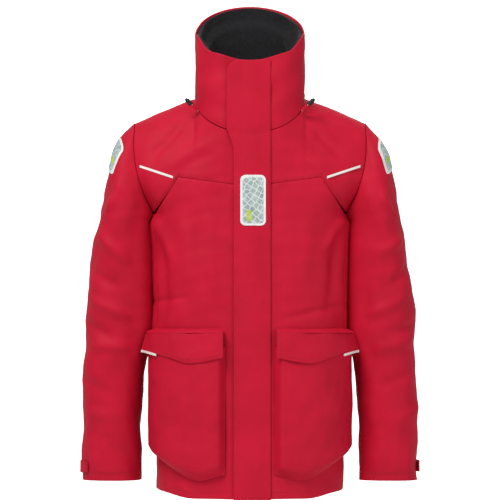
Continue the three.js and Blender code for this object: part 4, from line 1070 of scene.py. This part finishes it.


def declare_sheet(at, wide, long):
    """Works out a piece's area in square metres and keeps it between LEAST_AREA_SHARE of its wide by long rectangle
    and the whole rectangle; the area is not stored or passed on. It is worked out from the drawn face itself, not from
    a cutting pattern, so it shows nothing about stretch."""
    area = min(flat_area(at), wide * long)
    area = max(area, LEAST_AREA_SHARE * wide * long)


def line(count, u, v):
    """A path of u and v: each is one number, or a pair that it runs between."""
    k = np.linspace(0, 1, count)
    run = [mix(*c, k) if isinstance(c, tuple) else np.full(count, float(c)) for c in (u, v)]
    return run[0], run[1]


SKINS = {}


def make_skins():
    """Every cloth surface of the body, by name, so that stitching can follow it."""
    dip = cloth_settings().seam_dip * 1000
    relief = scaled(body_relief)
    for side, sign in SIDES:
        front = dict(relief=relief, sign=sign, depth=dip)
        SKINS[f"front_panel_{side}"] = skin(front_panel_point, seams="rt", **front)
        SKINS[f"front_yoke_{side}"] = skin(front_yoke_point, seams="b", **front)
        SKINS[f"side_panel_{side}"] = skin(side_panel_point, seams="lrt", **front)
        SKINS[f"sleeve_{side}"] = skin(sleeve_point, scaled(sleeve_relief(sign)), sign=sign, loop=True)
        SKINS[f"pocket_bag_{side}"] = skin(pocket_bag_point, scaled(pocket_relief(61 + sign)), sign=sign, seams="lrb")
        SKINS[f"pocket_flap_{side}"] = skin(pocket_flap_point, scaled(pocket_relief(71 + sign)), sign=sign)
        SKINS[f"pocket_seat_{side}"] = skin(pocket_seat_point, sign=sign)
    SKINS["back_panel"] = skin(lambda u, v: back_panel_point(2 * u - 1, v), relief, side=-1, seams="lrt", depth=dip)
    SKINS["back_yoke"] = skin(lambda u, v: back_yoke_point(2 * u - 1, v), relief, side=-1, seams="b", depth=dip)
    SKINS["collar"] = skin(collar_surface(ZIP_CHANNEL_HALF), scaled(collar_relief), seams="b", depth=0.3)
    SKINS["storm_flap"] = skin(storm_flap_point, scaled(flap_relief))


# ---- Operators ----

class JACKET_OT_stage(Operator):
    """Sets the camera level with the jacket's middle, straight in front, in soft light over a pale floor"""
    bl_idname = "jacket.stage"
    bl_label = "Stage"

    def execute(self, context):
        studio = context.scene.jacket_studio
        middle_z = (486 - HANG_POINT[2]) * 0.001
        camera = bpy.data.objects.new("camera", bpy.data.cameras.new("camera"))
        camera.location = (0, -studio.distance, middle_z)
        camera.rotation_euler = (math.radians(90), 0, 0)
        camera.data.lens = camera.data.sensor_width * studio.distance / studio.view_width
        camera.data.clip_end = 100
        context.scene.collection.objects.link(camera)
        context.scene.camera = camera
        self.light(context, "key", (-1.6, -2.6, 3.2), studio.key_power, 2.0)
        self.light(context, "fill", (2.6, -3.0, 0.6), studio.fill_power, 2.6)
        self.light(context, "back", (0.4, 3.2, 2.4), studio.fill_power, 2.4)
        world = bpy.data.worlds.new("surround")
        world.use_nodes = True
        tree = world.node_tree
        background = tree.nodes["Background"]
        background.inputs["Color"].default_value = (1, 1, 1, 1)
        seen = node(tree, "ShaderNodeLightPath").outputs["Is Camera Ray"]
        strength = node(tree, "ShaderNodeMapRange", None, Value=seen, To_Min=studio.surround, To_Max=1.6)
        tree.links.new(strength.outputs["Result"], background.inputs["Strength"])
        context.scene.world = world
        context.scene.view_settings.view_transform = "Standard"
        self.floor(middle_z)
        return {"FINISHED"}

    def light(self, context, name, place, power, size):
        made = bpy.data.objects.new(name, bpy.data.lights.new(name, "AREA"))
        made.data.energy = power
        made.data.size = size
        made.location = place
        towards = Vector((0, 0, -0.35)) - Vector(place)
        made.rotation_euler = towards.to_track_quat("-Z", "Y").to_euler()
        context.scene.collection.objects.link(made)

    def floor(self, middle_z):
        material, tree, shader = new_material("studio_floor")
        place = node(tree, "ShaderNodeTexCoord").outputs["Object"]
        dust = node(tree, "ShaderNodeTexNoise", None, Vector=place, Scale=3.0)
        ramp = node(tree, "ShaderNodeValToRGB", None, Fac=dust.outputs["Fac"])
        ramp.color_ramp.elements[0].color = linear("#efeeec")
        ramp.color_ramp.elements[1].color = linear("#f7f6f4")
        set_shader(tree, shader, Base_Color=ramp.outputs["Color"], Roughness=0.8)
        half, low = 3.0, middle_z - 1.1
        corners = np.array([(-half, -half, low), (half, -half, low), (half, half, low), (-half, half, low)])
        thick = corners - [0, 0, 0.02]
        points = np.concatenate([corners, thick]) * 1000 + HANG_POINT
        quads = np.array([(0, 1, 2, 3), (7, 6, 5, 4), (0, 4, 5, 1), (1, 5, 6, 2), (2, 6, 7, 3), (3, 7, 4, 0)])
        mesh_object("floor", points, quads, material, smooth=False)


class JACKET_OT_body(Operator):
    """The coated cloth of the body: two front panels, two front yokes, two side panels, the back and its yoke"""
    bl_idname = "jacket.body"
    bl_label = "Body"

    def execute(self, context):
        for side, _ in SIDES:
            for part, wide, long in (("front_panel", 0.30, 0.66), ("front_yoke", 0.36, 0.26),
                                     ("side_panel", 0.12, 0.57)):
                at = SKINS[f"{part}_{side}"]
                made = cloth_piece(f"{part}_{side}_cloth", at, SHELL, nodes=[f"{part}_{side}"])
                declare_sheet(at, wide, long)
        for part, wide, long in (("back_panel", 0.56, 0.62), ("back_yoke", 0.56, 0.29)):
            made = cloth_piece(f"{part}_cloth", SKINS[part], SHELL, nodes=[part])
            declare_sheet(SKINS[part], wide, long)
        return {"FINISHED"}


class JACKET_OT_collar(Operator):
    """The high collar: its outer cloth, bunched fleece lining, the hood rolled inside it, and the hang loop"""
    bl_idname = "jacket.collar"
    bl_label = "Collar"

    def execute(self, context):
        made = cloth_piece("collar_cloth", SKINS["collar"], SHELL, nodes=["collar_outer"])
        declare_sheet(SKINS["collar"], 0.66, 0.20)
        inside = collar_surface(ZIP_CHANNEL_HALF + TAPE_WIDE + 2)

        def fleece_depth(u, v):
            return SHELL + LAYER_GAP + hood_bulge(u, v)

        fleece = skin(inside, lambda p, u, v: 0.6 * wander(p, 60, 25), sunk=fleece_depth)
        inner = skin(inside, lambda p, u, v: -fleece_relief(p, u, v),
                     sunk=lambda u, v: fleece_depth(u, v) + FLEECE - 1)
        self.lining(fleece, inner)
        hood = skin(lambda u, v: inside(mix(0.5 - HOOD_REACH, 0.5 + HOOD_REACH, u), mix(*HOOD_ROWS, v)),
                    lambda p, u, v: -1.2 + 0.8 * wander(p, 30, 81), sunk=lambda u, v: SHELL + LAYER_GAP + 0 * u)
        made = cloth_piece("rolled_hood", hood, HOOD - 2, nodes=["stowed_hood"])
        self.loop()
        return {"FINISHED"}

    def lining(self, outer, inner):
        """The fleece is thick, so its two faces are worked out apart: plain against the shell, bunched inside."""
        wide_n, tall_n, wide, tall = row_counts(inner)
        u, v = np.meshgrid(cuts(wide_n, 2, wide), cuts(tall_n, 2, tall) * 0.975)
        back, _ = outer(u, v)
        face, _ = inner(u, v)
        rows, columns = u.shape
        number = np.arange(rows * columns).reshape(rows, columns)
        corners = (number[:-1, :-1], number[:-1, 1:], number[1:, 1:], number[1:, :-1])
        front = np.stack([k.ravel() for k in corners], axis=1)
        deep = rows * columns
        rims = [rim_quads(number[0], number[0] + deep)[:, ::-1], rim_quads(number[-1], number[-1] + deep),
                rim_quads(number[:, 0], number[:, 0] + deep), rim_quads(number[:, -1], number[:, -1] + deep)[:, ::-1]]
        quads = np.concatenate([front, front[:, ::-1] + deep, *rims])
        points = np.concatenate([back.reshape(-1, 3), face.reshape(-1, 3)])
        made = mesh_object("collar_fleece", points, quads, MATERIALS["fleece"])
        soft = made.modifiers.new("smooth", "SUBSURF")
        soft.levels = soft.render_levels = 1
        finish_piece(made, "root", ["collar_lining"])
        declare_sheet(inner, 0.66, 0.20)

    def loop(self):
        """A flat ribbon along a sine arch from foot to foot."""
        low, high = (np.array(k) * 1000 + HANG_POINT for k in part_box("hang_loop"))
        half = (high[0] - low[0]) / 2
        top_y, foot_y = low[1] + 1.6, high[1]

        def ribbon(u, v):
            k = np.sin(np.pi * np.clip(u, 0, 1)) ** 0.75
            wave = 0.5 * np.sin(9 * u)
            z = mix(low[2], high[2] - 8, k) + 8 * v
            return stack(mix(-half, half, u), mix(foot_y, top_y, k) + wave * k * (1 - k), z)

        made = cloth_piece("hang_loop_webbing", skin(ribbon, lambda p, u, v: 0 * u), 1.4, nodes=["hang_loop"],
                           material="webbing", edge=0.5, least=4)


class JACKET_OT_zip(Operator):
    """The two-way zip: woven tapes, moulded teeth that mesh, and finishes for its sliders, pullers and stop"""
    bl_idname = "jacket.zip"
    bl_label = "Zip"

    def execute(self, context):
        spacing = cloth_settings().tooth_spacing * 1000
        low, high = 24, up_slope(RIM_FRONT_Z) - 10
        for side, sign in SIDES:
            def tape(u, v, sign=sign):
                x = sign * mix(TAPE_IN, TAPE_IN + TAPE_WIDE, u)
                return on_plane(stack(x, TAPE_Y + 0 * u, mix(low - 4, high + 4, v)))
            made = cloth_piece(f"zip_tape_{side}_cloth", skin(tape, lambda p, u, v: 0 * u, side=sign), TAPE_THICK,
                               nodes=[f"zip_tape_{side}"], material="webbing", edge=0.6)
            z = np.arange(low + 5 + (spacing / 2 if sign < 0 else 0), high - 1, spacing)
            centres = on_plane(stack(sign * (0.8 + 0.8) + 0 * z, TAPE_Y + 0.4 + 1.1, z))
            outward = on_plane(np.array([0.0, -1, 0])) - on_plane(np.array([0.0, 0, 0]))
            normal = np.broadcast_to(outward, centres.shape)
            across = np.broadcast_to([1.0, 0, 0], centres.shape)
            teeth = blocks_mesh(f"zip_tooth_row_{side}", centres, across, normal, (1.6, 1.5, 2.2),
                                MATERIALS["plastic"])
            finish_piece(teeth, "root", [f"zip_teeth_{side}"])
        for name in ("zip_bottom_stop", "zip_slider_top", "zip_slider_bottom", "zip_puller_top", "zip_puller_bottom"):
            dress(name, "plastic")
        inner = skin(inner_flap_point, level)
        made = cloth_piece("inner_storm_flap_cloth", inner, 1.6, nodes=["inner_storm_flap"])
        return {"FINISHED"}


def dress(name, material):
    """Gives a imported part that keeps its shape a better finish."""
    part = bpy.data.objects[name]
    part.data.materials.clear()
    part.data.materials.append(MATERIALS[material])


class JACKET_OT_storm_flap(Operator):
    """The outer storm flap with its hook and loop strips, its topstitching and the reflective patch on it"""
    bl_idname = "jacket.storm_flap"
    bl_label = "Storm flap"

    def execute(self, context):
        at = SKINS["storm_flap"]
        made = cloth_piece("storm_flap_cloth", at, FLAP_THICK, "storm_flap", ["storm_flap"])
        declare_sheet(at, 0.095, 0.875)
        self.strip("storm_flap_loop_strip", "root", 0.35 + 1.2)
        self.strip("storm_flap_hook_strip", "storm_flap", 0.7 + 2.4)
        self.patch()
        rows = [(at, *line(500, 0.985, (0.004, 0.995))), (at, *line(500, 0.955, (0.004, 0.995))),
                (at, *line(500, 0.055, (0.006, 0.965))), (at, *line(60, (0.05, 0.98), 0.006))]
        stitches = stitch_rows("storm_flap_stitches", rows, MATERIALS["thread"])
        finish_piece(stitches, "storm_flap")
        return {"FINISHED"}

    def strip(self, node_name, body, front):
        top = up_slope(NECK_FRONT_Z) - 30

        def face(u, v):
            return on_plane(stack(mix(FLAP_FREE_X + 1, FLAP_FREE_X + 17, u), -front + 0 * u, mix(20, top, v)))

        made = cloth_piece(f"{node_name}_tape", skin(face, lambda p, u, v: 0.05 * wander(p, 9, 91)), 1.2, body,
                           [node_name], "hooks", edge=0.5)

    def patch(self):
        """A white welded border, the prismatic field inside it, and a small lime mark."""
        flat = lambda p, u, v: 0.12 * wander(p, 45, 95)
        border = skin(patch_point(50, 100, 10, 0.0), flat)
        made = self.film("reflective_patch_border", border, "border", 0.9, ["reflective_patch"])
        field = skin(patch_point(41, 91, 6.5, 0.25), flat)
        self.film("reflective_patch_field", field, "prisms", 0.5)
        mark = skin(patch_point(8, 22, 1.5, 0.45, (-1.5, 553)), flat)
        self.film("reflective_patch_mark", mark, "lime", 0.4)
        return made

    def film(self, name, at, material, thickness, nodes=()):
        k = np.sin(np.linspace(-np.pi / 2, np.pi / 2, 29)) * 0.5 + 0.5
        made = sheet_mesh(name, at, k, cuts(24, 0.8, 90), thickness, MATERIALS[material], smoothing=0)
        return finish_piece(made, "storm_flap", nodes)


class JACKET_OT_pockets(Operator):
    """The two cargo pockets: pouch, flap seat, hinged flap and white piping"""
    bl_idname = "jacket.pockets"
    bl_label = "Cargo pockets"

    def execute(self, context):
        for side, _ in SIDES:
            bag, flap, seat = (SKINS[f"{k}_{side}"] for k in ("pocket_bag", "pocket_flap", "pocket_seat"))
            made = cloth_piece(f"pocket_bag_{side}_cloth", bag, POCKET_WALL, nodes=[f"pocket_bag_{side}"], least=20)
            declare_sheet(bag, 0.20, 0.31)
            made = cloth_piece(f"pocket_flap_{side}_cloth", flap, FLAP_THICK, f"pocket_flap_{side}",
                               [f"pocket_flap_{side}"])
            declare_sheet(flap, 0.17, 0.06)
            made = cloth_piece(f"pocket_flap_seat_{side}_cloth", seat, FLAP_THICK, nodes=[f"pocket_flap_seat_{side}"],
                               edge=0.8)
            declare_sheet(seat, 0.17, 0.03)
            self.trim(side, bag, flap)
        return {"FINISHED"}

    def trim(self, side, bag, flap):
        sign = dict(SIDES)[side]
        made = cloth_piece(f"pocket_piping_{side}_braid", skin(pocket_piping_point, level, sign=sign), 3.0,
                           f"pocket_flap_{side}", [f"pocket_piping_{side}"], "piping", edge=1.0)
        rows = [(flap, *line(160, (0.01, 0.99), 0.13)), (flap, *line(50, 0.035, (0.05, 0.98))),
                (flap, *line(50, 0.97, (0.05, 0.98)))]
        finish_piece(stitch_rows(f"pocket_flap_stitches_{side}", rows, MATERIALS["thread"]), f"pocket_flap_{side}")
        rows = [(bag, *line(140, (0.09, 0.91), 0.985)), (bag, *line(220, 0.095, (0.09, 0.98))),
                (bag, *line(220, 0.905, (0.09, 0.98))), (bag, *line(140, (0.09, 0.91), 0.095))]
        finish_piece(stitch_rows(f"pocket_bag_stitches_{side}", rows, MATERIALS["thread"]), "root")


class JACKET_OT_piping(Operator):
    """White braid piping across the front of each shoulder"""
    bl_idname = "jacket.piping"
    bl_label = "Chest piping"

    def execute(self, context):
        for side, sign in SIDES:
            made = cloth_piece(f"chest_piping_{side}_braid", skin(chest_piping_point, level, sign=sign), 2.1,
                               nodes=[f"chest_piping_{side}"], material="piping", edge=0.8)
        return {"FINISHED"}


class JACKET_OT_sleeves(Operator):
    """The two sleeves with their shoulder patches, inner cuffs and cuff tabs"""
    bl_idname = "jacket.sleeves"
    bl_label = "Sleeves"

    def execute(self, context):
        for side, sign in SIDES:
            at = SKINS[f"sleeve_{side}"]
            blend = armhole_blend(side, sign)
            made = cloth_piece(f"sleeve_{side}_cloth", at, SLEEVE, nodes=[f"sleeve_{side}"], loop=True, blend=blend)
            declare_sheet(at, 0.52, 0.80)
            self.shoulder_patch(side, blend)
            cuff = skin(inner_cuff_point, lambda p, u, v: 0.7 * wander(p, 24, 101), sign=sign, loop=True)
            made = cloth_piece(f"inner_cuff_{side}_cloth", cuff, 1.4, f"sleeve_{side}", [f"inner_cuff_{side}"],
                               "lining", loop=True)
            self.tab(side, sign)
            self.stitches(side, at, blend)
        return {"FINISHED"}

    def shoulder_patch(self, side, blend):
        cloth = SKINS[f"sleeve_{side}"]

        def patch(first, last, top, low, above):
            def at(u, v, lift=0.0):
                corner = 0.16
                edge = np.maximum(0, corner - np.minimum(u, 1 - u)) / corner
                half = 0.5 - 0.13 * (1 - np.sqrt(np.maximum(0, 1 - edge ** 2)))
                k = 0.5 + (2 * v - 1) * half
                return cloth(mix(first, last, u), mix(top, low, k), lift + above)
            return at
        for name, at, material, thick in (("border", patch(-0.13, 0.13, 0.102, 0.172, 1.1), "border", 1.0),
                                          ("field", patch(-0.115, 0.115, 0.108, 0.166, 1.5), "prisms", 0.6),
                                          ("mark", patch(0.035, 0.105, 0.142, 0.151, 1.8), "lime", 0.4)):
            k = np.sin(np.linspace(-np.pi / 2, np.pi / 2, 41)) * 0.5 + 0.5
            made = sheet_mesh(f"shoulder_patch_{side}_{name}", at, k, cuts(14, 0.8, 50), thick, MATERIALS[material],
                              smoothing=0)
            nodes = [f"shoulder_patch_{side}"] if name == "border" else ()
            finish_piece(made, None, nodes, blend)

    def tab(self, side, sign):
        reach = (-0.3, 0.03) if side == "left" else (-0.3, 0.12)
        low, high = sleeve_row(57 - 12), sleeve_row(57 + 12)

        def point(u, v):
            nose = ease((u - 0.9) / 0.1) * 0.18
            return on_sleeve(mix(*reach, u), mix(high, low, 0.5 + (v - 0.5) * (1 - nose)), LAYER_GAP + 2.4)

        at = skin(point, level, sign=sign, side=1)
        made = cloth_piece(f"cuff_tab_{side}_cloth", at, 2.4, f"cuff_tab_{side}", [f"cuff_tab_{side}"])
        declare_sheet(at, 0.19 if side == "right" else 0.15, 0.025)
        rows = [(at, *line(140, (0.02, 0.98), 0.12)), (at, *line(140, (0.02, 0.98), 0.88)),
                (at, *line(20, 0.97, (0.12, 0.88)))]
        finish_piece(stitch_rows(f"cuff_tab_stitches_{side}", rows, MATERIALS["thread"]), f"cuff_tab_{side}")

    def stitches(self, side, at, blend):
        hem = sleeve_row(SLEEVE_HEM_Z + 14)
        rows = [(at, *line(400, (0, 1), hem)), (at, *line(400, (0, 1), hem - 0.004)),
                (at, *line(300, (0, 1), 0.022))]
        finish_piece(stitch_rows(f"sleeve_stitches_{side}", rows, MATERIALS["thread"]), None,
                     blend=blend)


class JACKET_OT_lining(Operator):
    """The body lining and the facing inside the hem"""
    bl_idname = "jacket.lining"
    bl_label = "Lining"

    def execute(self, context):
        inset = lambda u, v: SHELL + LAYER_GAP + 0.2 + 0 * u
        follow = scaled(body_relief)
        under = lambda p, u, v: np.minimum(follow(p, u, v), 0) - 0.4
        at = skin(body_band(42, UNDERARM_Z - 12), under, sunk=inset)
        made = cloth_piece("body_lining_cloth", at, LINING, nodes=["body_lining"],
                           material="lining")
        declare_sheet(at, 1.15, 0.51)
        at = skin(body_band(1, 40), under, sunk=inset)
        made = cloth_piece("hem_facing_cloth", at, LINING, nodes=["hem_facing"])
        declare_sheet(at, 1.15, 0.04)
        return {"FINISHED"}


class JACKET_OT_cords(Operator):
    """The collar's two cord locks: ribbed barrel, press button, drawcord and its sewn tab"""
    bl_idname = "jacket.cords"
    bl_label = "Cord locks"

    def execute(self, context):
        for side, sign in SIDES:
            x = COLLAR_HALF - 8
            seat = on_front(np.array(float(x)), neck_z(float(x), NECK_FRONT_Z))
            origin = (seat + [1.5, -3.1, 1]) * [sign, 1, 1]
            axis = unit(np.array([20.0 * sign, -5, 19]))
            barrel = [(1.85, 18), (4.0, 18), (4.6, 18.6), (4.6, 21), (4.25, 21.6), (4.25, 22.6), (4.6, 23.2),
                      (4.6, 25), (4.25, 25.6), (4.25, 26.6), (4.6, 27.2), (4.6, 30.3), (4.1, 31), (3.3, 31),
                      (3.3, 24), (1.85, 24)]
            made = lathe_mesh(f"cord_lock_{side}_barrel", origin, axis, barrel, MATERIALS["plastic"])
            finish_piece(made, "root", [f"cord_lock_{side}"])
            button = [(0.02, 27.2), (3.0, 27.2), (3.0, 33.8), (2.5, 34.5), (0.02, 34.6)]
            made = lathe_mesh(f"cord_lock_{side}_button", origin, axis, button, MATERIALS["plastic"])
            finish_piece(made, f"cord_button_{side}", [f"cord_lock_button_{side}"])
            path = origin + axis * np.linspace(0, 23.5, 24)[:, None]
            made = tube_mesh(f"drawcord_{side}_braid", path, 1.5, MATERIALS["cord"])
            finish_piece(made, "root", [f"drawcord_{side}"])
            self.tab(side, origin, axis)
        return {"FINISHED"}

    def tab(self, side, origin, axis):
        low, high = (np.array(k) * 1000 + HANG_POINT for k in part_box(f"cord_tab_{side}"))
        middle = (low + high) / 2
        centre = origin + axis * 8.5
        out = middle - centre - axis * ((middle - centre) @ axis)
        out = unit(out)
        across = np.cross(axis, out)

        def strap(u, v):
            along = mix(-7.5, 7.5, v)[..., None]
            bow = (0.3 * np.sin(np.pi * v))[..., None]
            return centre + axis * along + across * mix(-4, 4, u)[..., None] + out * (2.0 + bow)

        at = skin(strap, lambda p, u, v: 0 * u)
        _, n = at(0.5, 0.5)
        facing = 1 if float((n * out).sum()) > 0 else -1
        made = cloth_piece(f"cord_tab_{side}_cloth", skin(strap, lambda p, u, v: 0 * u, side=facing), 1.6,
                           nodes=[f"cord_tab_{side}"], edge=0.4, least=4)


class JACKET_OT_stitching(Operator):
    """Topstitching along the body's seams, hem and collar"""
    bl_idname = "jacket.stitching"
    bl_label = "Stitching"

    def execute(self, context):
        rows = []
        for side, _ in SIDES:
            yoke, panel = SKINS[f"front_yoke_{side}"], SKINS[f"front_panel_{side}"]
            rows += [(yoke, *line(200, (0.2, 0.97), 0.022)), (yoke, *line(200, (0.2, 0.97), 0.05)),
                     (panel, *line(300, (0, 1), 0.022)), (panel, *line(300, 0.955, (0.02, 0.87)))]
        back = SKINS["back_panel"]
        rows += [(back, *line(400, (0.01, 0.99), 0.022)), (SKINS["back_yoke"], *line(400, (0.02, 0.98), 0.03)),
                 (SKINS["back_yoke"], *line(400, (0.02, 0.98), 0.055)),
                 (SKINS["collar"], *line(400, (0.01, 0.99), 0.955)), (SKINS["collar"], *line(400, (0.01, 0.99), 0.05))]
        made = stitch_rows("body_stitches", rows, MATERIALS["thread"], cloth_settings().stitch_spacing * 1000)
        finish_piece(made, "root")
        return {"FINISHED"}


OPERATORS = (JACKET_OT_stage, JACKET_OT_cords, JACKET_OT_body, JACKET_OT_collar, JACKET_OT_zip, JACKET_OT_storm_flap,
             JACKET_OT_pockets, JACKET_OT_piping, JACKET_OT_sleeves, JACKET_OT_lining, JACKET_OT_stitching)


class JACKET_PT_panel(Panel):
    """Lists the jacket's pieces and settings"""
    bl_idname = "JACKET_PT_panel"
    bl_label = "Foul weather jacket"
    bl_space_type = "VIEW_3D"
    bl_region_type = "UI"
    bl_category = "Jacket"

    def draw(self, context):
        for group in (context.scene.jacket_cloth, context.scene.jacket_studio):
            for key in group.bl_rna.properties.keys():
                if key not in ("rna_type", "name"):
                    self.layout.prop(group, key)
        for operator in OPERATORS:
            self.layout.operator(operator.bl_idname)


CLASSES = (JacketCloth, JacketStudio, *OPERATORS, JACKET_PT_panel)


def register():
    for made in CLASSES:
        bpy.utils.register_class(made)
    bpy.types.Scene.jacket_cloth = PointerProperty(type=JacketCloth)
    bpy.types.Scene.jacket_studio = PointerProperty(type=JacketStudio)


def unregister():
    del bpy.types.Scene.jacket_studio
    del bpy.types.Scene.jacket_cloth
    for made in reversed(CLASSES):
        bpy.utils.unregister_class(made)


def main():
    register()
    make_materials(cloth_settings())
    make_skins()
    for operator in OPERATORS:
        group, name = operator.bl_idname.split(".")
        getattr(getattr(bpy.ops, group), name)()


if __name__ == "__main__":
    main()
